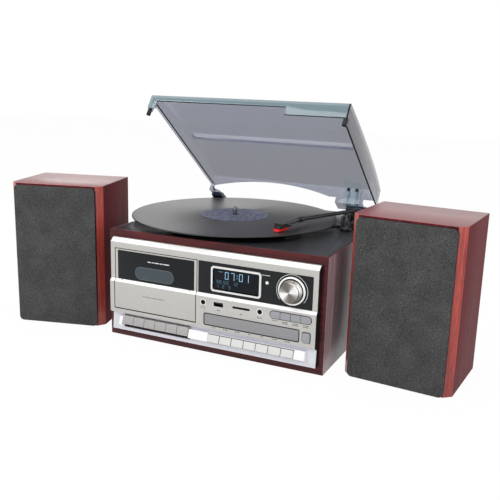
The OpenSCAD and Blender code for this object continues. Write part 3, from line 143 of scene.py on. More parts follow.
def face(piece, centre, direction):
    """Moves a piece made about the vertical axis to its centre, looking along direction."""
    piece.rotation_euler = Vector(direction).to_track_quat("Z", "Y").to_euler()
    piece.location = centre
    return settle(piece)


def soften(piece, width, segments=2, angle=30):
    """Rounds the sharp edges by width, in metres, and shades what is left smooth."""
    take(piece)
    rounding = piece.modifiers.new("rounding", "BEVEL")
    rounding.width = width
    rounding.segments = segments
    rounding.limit_method = "ANGLE"
    rounding.angle_limit = math.radians(angle)
    rounding.use_clamp_overlap = True
    bpy.ops.object.modifier_apply(modifier="rounding")
    bpy.ops.object.shade_smooth_by_angle(angle=math.radians(angle))
    return piece


def finish(piece, material, body):
    """Gives a new piece its material, and the body that it rides on."""
    settle(piece)
    piece.data.materials.clear()
    piece.data.materials.append(material)
    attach(piece, body)
    return piece


def join(pieces, name):
    """Makes several pieces one piece."""
    put_down()
    for piece in pieces:
        piece.select_set(True)
    bpy.context.view_layer.objects.active = pieces[0]
    if len(pieces) > 1:
        bpy.ops.object.join()
    pieces[0].name = name
    return pieces[0]


def copied(piece, name, shift):
    """Another of the same piece, with its own mesh, moved by shift."""
    other = piece.copy()
    other.data = piece.data.copy()
    other.name = name
    bpy.context.scene.collection.objects.link(other)
    other.location += Vector(shift)
    return settle(other)


def dressed(node_name, material, width_mm=0.0, segments=2, angle=30):
    """A copy of a CAD node with merged corners and rounded edges, which stands for the node."""
    source = NODES[node_name]
    piece = bpy.data.objects.new(node_name + "_finished", source.data.copy())
    bpy.context.scene.collection.objects.link(piece)
    edit(piece)
    bpy.ops.mesh.remove_doubles(threshold=0.00001)
    bpy.ops.mesh.select_all(action="SELECT")
    bpy.ops.mesh.dissolve_limited(angle_limit=math.radians(0.5))
    put_down()
    if width_mm:
        soften(piece, width_mm * MM, segments, angle)
    else:
        take(piece)
        bpy.ops.object.shade_smooth_by_angle(angle=math.radians(angle))
    finish(piece, material, source["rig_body"])
    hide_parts(node_name)
    return piece


def repaint(piece, material, chosen):
    """Gives the faces that chosen(centre, normal) picks another material."""
    piece.data.materials.append(material)
    index = len(piece.data.materials) - 1
    for polygon in piece.data.polygons:
        if chosen(polygon.center, polygon.normal):
            polygon.material_index = index


def split(piece, point, normal):
    """Cuts new edges across a piece along a plane, and keeps both sides."""
    edit(piece)
    bpy.ops.mesh.bisect(plane_co=point, plane_no=normal)
    put_down()


def slab(name, low, high, rounding=0.0, segments=2):
    """A box between two corners, in metres, with rounded edges."""
    low, high = Vector(low), Vector(high)
    put_down()
    bpy.ops.mesh.primitive_cube_add(size=1, location=(low + high) / 2, scale=high - low)
    piece = settle(bpy.context.object)
    piece.name = name
    if rounding:
        soften(piece, rounding, segments)
    return piece


def turned(name, centre, direction, profile, vertices=48):
    """A turned piece: profile is [(radius, height)] along direction, in metres, closed at both ends."""
    put_down()
    radius, height = profile[0]
    bpy.ops.mesh.primitive_circle_add(vertices=vertices, radius=radius, fill_type="NGON")
    piece = bpy.context.object
    piece.name = name
    edit(piece)
    bpy.ops.transform.translate(value=(0, 0, height))
    for next_r, next_h in profile[1:]:
        bpy.ops.mesh.extrude_region_move(TRANSFORM_OT_translate={"value": (0, 0, next_h - height)})
        bpy.ops.transform.resize(value=(next_r / radius, next_r / radius, 1),
                                 center_override=(0, 0, next_h))
        radius, height = next_r, next_h
    bpy.ops.mesh.select_all(action="SELECT")
    bpy.ops.mesh.normals_make_consistent(inside=False)
    face(piece, centre, direction)
    bpy.ops.object.shade_smooth_by_angle(angle=math.radians(35))
    return piece


def thickened(piece, thick):
    """Gives a flat face that looks up its thickness, below it."""
    put_down()
    if piece.data.polygons[0].normal.z < 0:
        piece.data.flip_normals()
    wall = piece.modifiers.new("wall", "SOLIDIFY")
    wall.thickness = thick
    wall.offset = -1
    take(piece)
    bpy.ops.object.modifier_apply(modifier="wall")
    return piece


def plate_ring(name, centre, direction, inner, outer, thick, vertices=64):
    """A flat round ring whose outer face lies at centre, looking along direction."""
    put_down()
    bpy.ops.mesh.primitive_circle_add(vertices=vertices, radius=outer, fill_type="NOTHING")
    piece = bpy.context.object
    piece.name = name
    edit(piece)
    bpy.ops.mesh.extrude_edges_move(TRANSFORM_OT_translate={"value": (0, 0, 0)})
    bpy.ops.transform.resize(value=(inner / outer, inner / outer, 1), center_override=(0, 0, 0))
    bpy.ops.mesh.select_all(action="SELECT")
    bpy.ops.mesh.normals_make_consistent(inside=False)
    return face(thickened(piece, thick), centre, direction)


def rounded_plate(name, centre, direction, size, corner, thick, line=0.0):
    """A plate with round corners, or with a line width only its border."""
    put_down()
    bpy.ops.mesh.primitive_plane_add(size=1)
    piece = bpy.context.object
    piece.name = name
    piece.scale = (size[0], size[1], 1)
    settle(piece)
    edit(piece)
    bpy.ops.mesh.bevel(offset=corner, segments=8, affect="VERTICES")
    bpy.ops.mesh.select_all(action="SELECT")
    if line:
        bpy.ops.mesh.inset(thickness=line, depth=0)
        bpy.ops.mesh.delete(type="FACE")
    return face(thickened(piece, thick), centre, direction)


# Materials

def rgb(code, factor=1.0):
    """An sRGB hex value as a linear colour, made darker or lighter by factor."""
    parts = [int(code[i:i + 2], 16) / 255 for i in (1, 3, 5)]
    linear = [p / 12.92 if p <= 0.04045 else ((p + 0.055) / 1.055) ** 2.4 for p in parts]
    return (*[min(1.0, p * factor) for p in linear], 1)


def feed(made, inputs):
    """Sets a node's inputs, each to a value, or linked from a socket or from a node's first output."""
    for name, value in inputs.items():
        if isinstance(value, bpy.types.Node):
            value = value.outputs[0]
        if isinstance(value, bpy.types.NodeSocket):
            made.id_data.links.new(value, made.inputs[name])
        else:
            made.inputs[name].default_value = value


def node(tree, kind, inputs=None, stops=(), **settings):
    """Adds one node: its own settings, its ramp's stops as (place, colour), and its inputs."""
    made = tree.nodes.new("ShaderNode" + kind)
    for name, value in settings.items():
        setattr(made, name, value)
    for _ in stops[2:]:
        made.color_ramp.elements.new(0.5)
    for index, (position, colour) in enumerate(stops):
        made.color_ramp.elements[index].position = position
        made.color_ramp.elements[index].color = rgb(colour) if isinstance(colour, str) else colour
    feed(made, inputs or {})
    return made


def new_material(name, **sockets):
    """A material, its tree, its shader and Object coordinates; sockets are named like base_color."""
    made = bpy.data.materials.new(name)
    made.use_nodes = True
    tree = made.node_tree
    shader = tree.nodes["Principled BSDF"]
    by_name = {s.name.lower().replace(" ", "_"): s for s in shader.inputs}
    for key, value in sockets.items():
        by_name[key].default_value = value
    return made, tree, shader, node(tree, "TexCoord").outputs["Object"]


def stained_veneer(name, dark, middle, pale, along, rough=0.38, coat=0.2, specular=0.35):
    """Mahogany-stained veneer under satin lacquer: long streaks and dark pores under a soft sheen."""
    made, tree, shader, where = new_material(name, coat_weight=coat, coat_roughness=0.22,
                                             specular_ior_level=specular)
    layers = []
    # Width and length of the streaks and of the pores in mm, and how rough their outlines are
    for wide_mm, long_mm, detail, distortion in ((5.0, 130.0, 4.0, 0.6), (0.9, 16.0, 2.0, 0.0)):
        scale = [1000 / (long_mm if axis == along else wide_mm) for axis in range(3)]
        stretched = node(tree, "Mapping", {"Vector": where, "Scale": scale})
        layers.append(node(tree, "TexNoise", {"Vector": stretched, "Scale": 1.0, "Detail": detail,
                                              "Distortion": distortion}))
    streaks, pores = layers
    tone = node(tree, "ValToRGB", {"Fac": streaks}, [(0.3, dark), (0.52, middle), (0.75, pale)])
    pits = node(tree, "ValToRGB", {"Fac": pores}, [(0.36, "#9a9a9a"), (0.5, "#ffffff")])
    grain = node(tree, "Mix", {0: 0.5, 6: tone, 7: pits}, data_type="RGBA", blend_type="MULTIPLY")
    gloss = node(tree, "MapRange", {"Value": streaks, "From Min": 0.3, "From Max": 0.7,
                                    "To Min": rough * 0.85, "To Max": rough * 1.2})
    relief = node(tree, "Bump", {"Height": pores, "Distance": 0.06 * MM, "Strength": 0.3})
    feed(shader, {"Base Color": grain.outputs[2], "Roughness": gloss, "Normal": relief})
    return made


def moulded(name, colour, rough=0.4, grit_mm=0.8, height_mm=0.01, variation=0.06, **sockets):
    """Moulded plastic: an even colour with the faint mottling and grain of the tool."""
    made, tree, shader, where = new_material(name, **sockets)
    grit = node(tree, "TexNoise", {"Vector": where, "Scale": 1000 / grit_mm, "Detail": 2.0})
    cloud = node(tree, "TexNoise", {"Vector": where, "Scale": 25.0, "Detail": 2.0})
    tone = node(tree, "ValToRGB", {"Fac": cloud},
                [(0.3, rgb(colour, 1 - variation)), (0.7, rgb(colour, 1 + variation))])
    gloss = node(tree, "MapRange", {"Value": grit, "From Min": 0.3, "From Max": 0.7,
                                    "To Min": rough * 0.85, "To Max": rough * 1.15})
    relief = node(tree, "Bump", {"Height": grit, "Distance": height_mm * MM, "Strength": 0.4})
    feed(shader, {"Base Color": tone, "Roughness": gloss, "Normal": relief})
    return made


def silver_lacquer(name, colour, rough=0.38, metallic=0.2, flake_mm=0.7):
    """Silver lacquer on ABS: fine flakes, drawn coarse enough to show, in a soft grainy sheen."""
    made, tree, shader, where = new_material(name, metallic=metallic, specular_ior_level=0.3)
    flakes = node(tree, "TexVoronoi", {"Vector": where, "Scale": 1000 / flake_mm})
    level = node(tree, "SeparateColor", {"Color": flakes.outputs["Color"]})
    tone = node(tree, "ValToRGB", {"Fac": level}, [(0.0, rgb(colour, 0.93)), (1.0, rgb(colour, 1.06))])
    gloss = node(tree, "MapRange", {"Value": level.outputs[1], "To Min": rough * 0.8,
                                    "To Max": rough * 1.2})
    feed(shader, {"Base Color": tone, "Roughness": gloss})
    return made


def rings(tree, where, centre, across, pitch):
    """A wave, from 0 to 1, that repeats every pitch metres from an axis, and the distance from it."""
    shifted = node(tree, "VectorMath", {0: where, 1: centre}, operation="SUBTRACT")
    flat = node(tree, "VectorMath", {0: shifted, 1: across}, operation="MULTIPLY")
    radius = node(tree, "VectorMath", {0: flat}, operation="LENGTH").outputs["Value"]
    turns = node(tree, "Math", {0: radius, 1: 2 * math.pi / pitch}, operation="MULTIPLY")
    wave = node(tree, "Math", {0: turns}, operation="SINE")
    return node(tree, "Math", {0: wave, 1: 0.5, 2: 0.5}, operation="MULTIPLY_ADD"), radius


def pressed_vinyl():
    """Pressed vinyl: grooves draw each highlight out into a wedge, with smooth bands between tracks."""
    made, tree, shader, where = new_material("pressed vinyl, grooved", roughness=0.34,
                                             specular_ior_level=0.6, anisotropic=0.75)
    # The grooves are drawn 1.4 mm apart, because real ones are too fine to show
    groove, radius = rings(tree, where, SPINDLE, (1, 1, 0), 1.4 * MM)
    share = node(tree, "Math", {0: radius, 1: RECORD_R}, operation="DIVIDE")
    # Where the grooves start, the gaps between tracks and the smooth edge, as shares of the radius
    bands = [(0.36, "#000000"), (0.39, "#ffffff")]
    for gap in (0.55, 0.705, 0.835):
        bands += [(gap - 0.005, "#ffffff"), (gap, "#303030"), (gap + 0.006, "#ffffff")]
    bands += [(0.965, "#ffffff"), (0.975, "#101010")]
    tracks = node(tree, "ValToRGB", {"Fac": share}, bands)
    depth = node(tree, "Math", {0: groove, 1: tracks}, operation="MULTIPLY")
    # Painted shade: the colour is darker where the relief is low, in the groove troughs and on the
    # smooth bands
    tone = node(tree, "ValToRGB", {"Fac": depth}, [(0.0, "#202022"), (1.0, "#343436")])
    relief = node(tree, "Bump", {"Height": depth, "Distance": 0.05 * MM, "Strength": 0.35})
    grain = node(tree, "Tangent", direction_type="RADIAL", axis="Z")
    feed(shader, {"Base Color": tone, "Normal": relief, "Tangent": grain})
    return made


def printed_label():
    """Printed paper label: mottled slate blue and grey, with a plain pale ring near its edge."""
    made, tree, shader, where = new_material("printed paper, slate blue", roughness=0.6)
    blots = node(tree, "TexNoise", {"Vector": where, "Scale": 150.0, "Detail": 4.0, "Distortion": 0.5})
    tone = node(tree, "ValToRGB", {"Fac": blots},
                [(0.36, "#42455a"), (0.5, "#50546a"), (0.62, "#6c7086")])
    ring = rings(tree, where, SPINDLE, (1, 1, 0), 9.0 * MM)[0]
    line = node(tree, "ValToRGB", {"Fac": ring}, [(0.93, "#000000"), (0.97, "#6e7288")])
    print_over = node(tree, "Mix", {0: 0.4, 6: tone, 7: line}, data_type="RGBA", blend_type="SCREEN")
    feed(shader, {"Base Color": print_over.outputs[2]})
    return made


def turned_aluminium(name, centre, across, rough=0.3):
    """Turned aluminium: concentric tool marks spread each highlight into a wedge, and painted highlights
    go round the axis as wedges of pale tone.
    """
    made, tree, shader, where = new_material(name, metallic=1.0, anisotropic=0.8)
    # The tool marks are drawn 0.8 mm apart, so that they show
    marks = rings(tree, where, centre, across, 0.8 * MM)[0]
    gloss = node(tree, "MapRange", {"Value": marks, "To Min": rough * 0.8, "To Max": rough * 1.2})
    relief = node(tree, "Bump", {"Height": marks, "Distance": 0.02 * MM, "Strength": 0.3})
    grain = node(tree, "Tangent", direction_type="RADIAL", axis="Y")
    # Painted highlights: the wedges of light that turned marks draw, as a tone that goes round the axis
    highlight_wedges, first_turn = 2.0, 0.6
    shifted = node(tree, "VectorMath", {0: where, 1: centre}, operation="SUBTRACT")
    parts = node(tree, "SeparateXYZ", {0: shifted})
    angle = node(tree, "Math", {0: parts.outputs["Z"], 1: parts.outputs["X"]}, operation="ARCTAN2")
    phase = node(tree, "Math", {0: angle, 1: highlight_wedges, 2: first_turn}, operation="MULTIPLY_ADD")
    wave = node(tree, "Math", {0: phase}, operation="SINE")
    level = node(tree, "Math", {0: wave, 1: 0.5, 2: 0.5}, operation="MULTIPLY_ADD")
    tone = node(tree, "ValToRGB", {"Fac": level},
                [(0.1, "#77736f"), (0.6, "#a8a4a0"), (0.92, "#f4f2f0")])
    feed(shader, {"Base Color": tone, "Roughness": gloss, "Normal": relief, "Tangent": grain})
    return made


def drawn_metal(name, colour, rough, streak_mm=0.4, along=0):
    """Drawn or plated steel: faint streaks along its length."""
    made, tree, shader, where = new_material(name, metallic=1.0, base_color=rgb(colour))
    scale = [1000 / streak_mm] * 3
    scale[along] = 40.0
    stretched = node(tree, "Mapping", {"Vector": where, "Scale": scale})
    streaks = node(tree, "TexNoise", {"Vector": stretched, "Scale": 1.0, "Detail": 2.0})
    gloss = node(tree, "MapRange", {"Value": streaks, "To Min": rough * 0.7, "To Max": rough * 1.3})
    feed(shader, {"Roughness": gloss})
    return made


def speaker_cloth():
    """Woven acoustic cloth: dark grey and black yarn in a fine, uneven speckle."""
    made, tree, shader, where = new_material("woven speaker cloth", roughness=0.95,
                                             specular_ior_level=0.1)
    # Yarn 0.9 mm apart is drawn as 1.1 mm, because one pixel covers about 0.7 mm
    yarn_mm, speckle_mm = 1.1, 1.2
    speckle = node(tree, "TexNoise", {"Vector": where, "Scale": 1000 / speckle_mm, "Detail": 2.0})
    patches = node(tree, "TexNoise", {"Vector": where, "Scale": 35.0, "Detail": 2.0})
    knots = node(tree, "TexVoronoi", {"Vector": where, "Scale": 1000 / yarn_mm})
    tone = node(tree, "ValToRGB", {"Fac": speckle},
                [(0.34, "#434344"), (0.5, "#505050"), (0.66, "#626262")])
    shade = node(tree, "ValToRGB", {"Fac": knots}, [(0.25, "#ffffff"), (0.7, "#c4c4c4")])
    wear = node(tree, "ValToRGB", {"Fac": patches}, [(0.35, "#e4e4e6"), (0.65, "#ffffff")])
    woven = node(tree, "Mix", {0: 0.7, 6: tone, 7: shade}, data_type="RGBA", blend_type="MULTIPLY")
    aged = node(tree, "Mix", {0: 1.0, 6: woven.outputs[2], 7: wear}, data_type="RGBA",
                blend_type="MULTIPLY")
    relief = node(tree, "Bump", {"Height": knots, "Distance": 0.25 * MM, "Strength": 0.35})
    feed(shader, {"Base Color": aged.outputs[2], "Normal": relief})
    return made


def smoked_acrylic(name, colour, alpha, rough=0.06, **sockets):
    """Smoked acrylic: a clear grey tint with sharp reflections and faint rubbing marks."""
    made, tree, shader, where = new_material(name, base_color=rgb(colour), alpha=alpha, ior=1.49,
                                             **sockets)
    stretched = node(tree, "Mapping", {"Vector": where, "Scale": (1, 6, 1)})
    marks = node(tree, "TexNoise", {"Vector": stretched, "Scale": 14.0, "Detail": 3.0})
    gloss = node(tree, "MapRange", {"Value": marks, "From Min": 0.35, "From Max": 0.7,
                                    "To Min": rough, "To Max": rough * 2.2})
    feed(shader, {"Roughness": gloss})
    return made


def glowing_segments(name, edge, core, strength):
    """Lit display segments: a cold glow, a little uneven from cell to cell."""
    made, tree, shader, where = new_material(name, base_color=rgb("#0a1420"), roughness=0.3,
                                             emission_strength=strength)
    cells = node(tree, "TexNoise", {"Vector": where, "Scale": 900.0})
    glow = node(tree, "ValToRGB", {"Fac": cells}, [(0.3, edge), (0.7, core)])
    feed(shader, {"Emission Color": glow})
    return made


def circuit_board():
    """Green lacquered circuit board with copper tracks under the lacquer."""
    made, tree, shader, where = new_material("lacquered circuit board", roughness=0.35)
    tracks = node(tree, "TexBrick", {"Vector": where, "Scale": 90.0, "Mortar Size": 0.03,
                                     "Color1": rgb("#24502f"), "Color2": rgb("#2d5f3a"),
                                     "Mortar": rgb("#5d8a50")}, offset=0.3)
    feed(shader, {"Base Color": tracks})
    return made


CABINET_WOOD = stained_veneer("mahogany-stained veneer", "#2e0b0f", "#4a1216", "#5e1a1e", along=0,
                              coat=0.1, specular=0.25)
# Paler veneer for the cabinet's sides: a painted sheen of grazing reflection
CABINET_SIDE_SHEEN = stained_veneer("mahogany-stained veneer, side", "#7d6669", "#937c80", "#a8959a", along=2,
                              rough=0.4, coat=0.3, specular=0.4)
SPEAKER_WOOD = stained_veneer("mahogany-stained veneer, upright", "#4c1a1f", "#66262b", "#7a2f33",
                              along=2, rough=0.6, coat=0.0, specular=0.08)
# Lighter veneer for the speakers' tops: a painted sheen
SPEAKER_TOP_SHEEN = stained_veneer("mahogany-stained veneer, top", "#5a2226", "#7c393b", "#945052", along=0,
                             rough=0.36, coat=0.25, specular=0.5)
# Painted highlights: on the speakers' rounded front edges, and a paler line on the top's front edge
FRONT_EDGE_HIGHLIGHT = stained_veneer("lacquered edge banding", "#90322d", "#a84038", "#bc5446", along=2, rough=0.3)
TOP_EDGE_HIGHLIGHT = stained_veneer("lacquered edge banding, worn", "#c06a64", "#d07a72", "#dc8a80", along=0)
SILVER = silver_lacquer("silver lacquer, warm", "#bab8b4")
# Lighter, cooler silver for the fascia's low zone, which faces up into the light: a painted highlight
SILVER_LOW_ZONE_LIT = silver_lacquer("silver lacquer, cool", "#d6d6de")
# Near-white silver: painted highlights on upward-facing chamfers and ledges, and the pale rims of the
# jacks and the knob
HIGHLIGHT_AND_PALE_SILVER = silver_lacquer("polished silver lacquer", "#f6f6f4", rough=0.25, metallic=0.0)
FRAME_SILVER = silver_lacquer("plated display frame", "#e2e2e0", rough=0.22, metallic=0.4)
# Black for painted shade in gaps, grooves and on faces turned from the light
SHADOW_BLACK = moulded("black, painted shade", "#161618", 0.5, specular_ior_level=0.2)
GLOSS_BLACK = moulded("gloss black acrylic", "#14171a", 0.16, 3, 0.002, specular_ior_level=0.25)
DISPLAY_GLASS = moulded("display glass", "#050a14", 0.1, 3, 0.001, specular_ior_level=0.2)
DECK = moulded("satin black deck moulding", "#26272a", 0.34, 1.0, 0.01, specular_ior_level=0.35)
BLACK = moulded("satin black plastic", "#121213", 0.35)
RUBBER = moulded("black rubber", "#161617", 0.75, 1.2, 0.03)
HARDBOARD = moulded("black hardboard", "#232222", 0.7, 1.0, 0.04)
MECHANISM = moulded("dark grey moulding", "#3c3c40", 0.5)
WHITE_PLASTIC = moulded("white acetal", "#e4e4e0", 0.35)
RED_PLASTIC = moulded("red polypropylene", "#a81e1c", 0.4)
KEY = silver_lacquer("silver key lacquer", "#a5a3a2", rough=0.34)
KEY_COOL = silver_lacquer("silver button lacquer", "#98999e", rough=0.34)
TRAY = silver_lacquer("silver drawer lacquer", "#8e8e90", rough=0.36)
# White for painted highlights on the rail and the play buttons, which face up into the light
RAIL_HIGHLIGHT_WHITE = moulded("milky acrylic", "#f2f2f0", 0.22, 0.8, 0.004, 0.01)
BUTTON_HIGHLIGHT_WHITE = moulded("milky acrylic, aged", "#d2d3d0", 0.25, 0.8, 0.004, 0.01)
STEEL = drawn_metal("drawn steel", "#b8b8bc", 0.3, along=2)
PIN_STEEL = drawn_metal("ground steel", "#8c8c90", 0.24, along=2)
BRASS = drawn_metal("turned brass", "#c8a860", 0.3, along=2)
PAINTED_CORE = moulded("painted transformer", "#5f5f64", 0.45)
VINYL = pressed_vinyl()
LABEL = printed_label()
CLOTH = speaker_cloth()
ACRYLIC_ROOF = smoked_acrylic("smoked acrylic", "#606d98", 0.52)
# Painted reflection and shade on the one acrylic cover: each zone is tinted as light or dark as it looks
# there
ACRYLIC_FRONT = smoked_acrylic("smoked acrylic, front skirt", "#6f868e", 0.66)
ACRYLIC_SIDE = smoked_acrylic("smoked acrylic, side skirt", "#686460", 0.5)
ACRYLIC_RIB = smoked_acrylic("smoked acrylic, rib, painted sheen", "#9aa2c4", 0.42, rough=0.12)
ACRYLIC_EDGE = smoked_acrylic("smoked acrylic, edge on, painted shade", "#0c1016", 0.97, rough=0.3,
                              specular_ior_level=0.2)
ACRYLIC_TAB = smoked_acrylic("smoked acrylic, hinge plate", "#6f9cba", 0.6)
ACRYLIC_BAR = smoked_acrylic("smoked acrylic, gusset, painted shade", "#1c2836", 0.85)
WINDOW = smoked_acrylic("dark smoked window", "#101315", 0.97, rough=0.12, specular_ior_level=0.25)
FROSTED = moulded("frosted clear plastic", "#3b464c", 0.3, specular_ior_level=0.3)
OVAL_RIM_HIGHLIGHT = moulded("frosted plastic, polished rim", "#5c686d", 0.25)
PRINT_BLACK = moulded("black printing ink", "#2a2a2c", 0.6)
PRINT_GREY = moulded("grey printing ink", "#6a6a6c", 0.6)
PRINT_WHITE = moulded("white printing ink", "#d6d8da", 0.5)
STYLUS_RED = moulded("red moulded plastic", "#e01a14", 0.3)
BOARD = circuit_board()
DIGITS = glowing_segments("pale blue display segments", "#8fc4ec", "#b0dcf8", 0.95)
SMALL_DIGITS = glowing_segments("blue-green display segments", "#5593a8", "#6cb0c4", 0.7)
KNOB_METAL = turned_aluminium("turned aluminium", KNOB_CENTRE, (1, 0, 1))


# Small fixings

def make_screw():
    """A pan-head screw with a cross recess, made about the vertical axis."""
    profile = [(r * MM, h * MM) for r, h in ((2.9, 0), (2.9, 0.7), (2.6, 1.2), (1.7, 1.6), (0.6, 1.75))]
    head = turned("screw", (0, 0, 0), UP, profile, 24)
    reach, half, top = 1.5 * MM, 0.32 * MM, 2.4 * MM
    cross = join([slab("bar", (-reach, -half, 0.8 * MM), (reach, half, top)),
                  slab("bar", (-half, -reach, 0.8 * MM), (half, reach, top))], "cross")
    cutting = head.modifiers.new("recess", "BOOLEAN")
    cutting.operation = "DIFFERENCE"
    cutting.object = cross
    cutting.use_self = True
    take(head)
    bpy.ops.object.modifier_apply(modifier="recess")
    bpy.data.objects.remove(cross)
    return head


def screws(name, places, direction, material, body):
    """Copies of the screw at places, looking along direction, as one piece."""
    made = [face(copied(SCREW, "screw", (0, 0, 0)), spot, direction) for spot in places]
    return finish(join(made, name), material, body)


def clip_lever(name, centre, turn=0.0):
    """The pressed lever of a spring clip, looking to the back: a wedge with a finger dish."""
    half_wide, deep, half_high, dish = 3.4 * MM, 6 * MM, 4.5 * MM, 3.5 * MM
    lever = slab(name, (-half_wide, 0, -half_high), (half_wide, deep, half_high))
    edit(lever)
    bpy.ops.mesh.select_all(action="DESELECT")
    put_down()
    for vertex in lever.data.vertices:
        vertex.select = vertex.co.y > deep / 2 and vertex.co.z < 0
    take(lever)
    bpy.ops.object.mode_set(mode="EDIT")
    bpy.ops.transform.translate(value=(0, -dish, 0))
    put_down()
    return place(soften(lever, 0.6 * MM, 3), centre, turn)


SCREW = make_screw()


# Cabinet and speakers

def make_cabinet():
    """Wooden box with paler sides from a painted sheen, and the screws, vents and sockets of its back.
    """
    box = dressed("cabinet", CABINET_WOOD, 0.8)
    # Painted sheen: the sides take the paler veneer
    repaint(box, CABINET_SIDE_SHEEN, lambda c, n: abs(n.x) > 0.9 and abs(c.x) > FASCIA_HIGH.x)
    inset = 7 * MM
    left, right = BACK_LOW.x + inset, BACK_HIGH.x - inset
    foot, top = BACK_LOW.z + inset, BACK_HIGH.z - inset
    spots = [(x, BACK_HIGH.y, z) for x in (left, 0, right) for z in (foot, top)]
    spots += [(x, BACK_HIGH.y, (foot + top) / 2) for x in (left, right)]
    screws("back_screws", spots, REAR, STEEL, "unit")
    # Vent bars over the transformer
    vent_low = Vector((30 * MM, BACK_HIGH.y - 0.2 * MM, 88 * MM))
    vent_size = Vector((46, 1.2, 2.6)) * MM
    vent_pitch = 5.2 * MM
    bar = slab("vent", vent_low, vent_low + vent_size, 0.5 * MM, 3)
    bars = [bar] + [copied(bar, "vent", (0, 0, i * vent_pitch)) for i in range(1, 8)]
    finish(join(bars, "back_vents"), BLACK, "unit")
    make_rear_sockets()


def make_rear_sockets():
    """Coloured collars on the line sockets, and levers on the speaker clips."""
    collar_y = BACK_HIGH.y + 0.9 * MM
    for name, material in (("line_out_left", WHITE_PLASTIC), ("line_out_right", RED_PLASTIC)):
        spot = (MOUNTS[name].x, collar_y, MOUNTS[name].z)
        collar = plate_ring(name + "_collar", spot, REAR, 4.3 * MM, 6.4 * MM, 0.9 * MM)
        finish(soften(collar, 0.2 * MM), material, "unit")
    pair_x = MOUNTS["line_out_right"].x + 60 * MM
    pair_pitch = 60 * MM
    clip_y = BACK_HIGH.y - 0.1 * MM
    for name, material, shift in (("red", RED_PLASTIC, -8 * MM), ("black", MECHANISM, 8 * MM)):
        lever = clip_lever("lever", Vector((pair_x + shift, clip_y, MOUNTS["line_out_left"].z)))
        pair = [lever, copied(lever, "lever", (pair_pitch, 0, 0))]
        finish(join(pair, "clip_levers_" + name), material, "unit")


def make_speakers():
    """Wooden boxes with painted highlights on their rounded front edges and top front edge, and cloth
    grilles whose edges are painted dark as shade.
    """
    for side, (middle, turn) in SPEAKERS.items():
        forward = Matrix.Rotation(turn, 3, "Z") @ FRONT
        box = dressed(side + "_speaker_cabinet", SPEAKER_WOOD, 1.0)
        # Painted highlights on the rounded front edges and on the top's front edge
        repaint(box, FRONT_EDGE_HIGHLIGHT, lambda c, n: abs(n.z) < 0.2 and 0.3 < n.dot(forward) < 0.98)
        # Painted sheen: the tops take a lighter veneer
        repaint(box, SPEAKER_TOP_SHEEN, lambda c, n: n.z > 0.9)
        repaint(box, TOP_EDGE_HIGHLIGHT, lambda c, n: 0.3 < n.z < 0.95 and n.dot(forward) > 0.2)
        cloth = dressed(side + "_grille", CLOTH, 2.0, 4)
        # Painted shade: the cloth's edges and back are dark, as in the gap between box and cloth
        repaint(cloth, SHADOW_BLACK, lambda c, n: n.dot(forward) < 0.3)
        make_terminals(side, middle, turn)


def make_terminals(side, middle, turn):
    """Dished terminal plate with two spring clips on a speaker's back."""
    backward = Matrix.Rotation(turn, 3, "Z") @ REAR
    across = Matrix.Rotation(turn, 3, "Z") @ Vector((1, 0, 0))
    foot = middle + Vector((0, 0, TABLE_Z + 45 * MM))
    centre = foot + backward * (SPEAKER_DEPTH + 0.2 * MM)
    ring = plate_ring(side + "_terminal_ring", centre, backward, 15.4 * MM, 19 * MM, 1.2 * MM)
    finish(soften(ring, 0.3 * MM), BLACK, side + "_speaker")
    for name, material, shift in (("red", RED_PLASTIC, -6 * MM), ("black", MECHANISM, 6 * MM)):
        spot = foot + backward * (SPEAKER_DEPTH - 2.8 * MM) + across * shift
        finish(clip_lever(f"{side}_terminal_{name}", spot, turn), material, side + "_speaker")


# Fascia

def on_ledge(c, n):
    """Whether a face is on the ledge between the two zones of the front, which takes a painted
    highlight.
    """
    return LEDGE_FOOT < c.z < LEDGE_TOP and n.z > 0.15 and n.y < -0.2


def make_fascia():
    """Silver front in zones: painted highlights on the foot, the rail, the top chamfer and the ledge,
    painted shade on its sides, and a plated display frame.
    """
    plate = dressed("fascia", SILVER, 0.25)
    rail_foot, rail_top = 19.7 * MM, 31.6 * MM
    rail_front = FASCIA_LOW.y + 5.2 * MM
    chamfer_foot = FASCIA_HIGH.z - 6 * MM
    low_zone = 39.5 * MM
    side_x = FASCIA_HIGH.x - 0.4 * MM
    frame_y = PANEL_LOW.y - 0.3 * MM
    frame_x = (WINDOW_LOW.x - 5 * MM, WINDOW_HIGH.x + 5 * MM)
    # Painted highlight on the low zone
    repaint(plate, SILVER_LOW_ZONE_LIT, lambda c, n: c.z < low_zone)
    # Painted highlights on the upward-facing top chamfer and ledge
    repaint(plate, HIGHLIGHT_AND_PALE_SILVER, lambda c, n: c.z > chamfer_foot and n.y < -0.3 and n.z > 0.2)
    repaint(plate, HIGHLIGHT_AND_PALE_SILVER, on_ledge)
    # Painted highlight on the rail
    repaint(plate, RAIL_HIGHLIGHT_WHITE, lambda c, n: rail_foot < c.z < rail_top and c.y < rail_front)
    repaint(plate, FRAME_SILVER, lambda c, n: frame_x[0] < c.x < frame_x[1] and c.z > LEDGE_TOP
            and c.y < frame_y)
    # Painted shade on the fascia's sides
    repaint(plate, SHADOW_BLACK, lambda c, n: abs(c.x) > side_x)
    board = dressed("control_board", BOARD)
    repaint(board, WHITE_PLASTIC, lambda c, n: c.y < PANEL_LOW.y + 1.2 * MM)
    make_gap_shade()
    make_socket_rims()


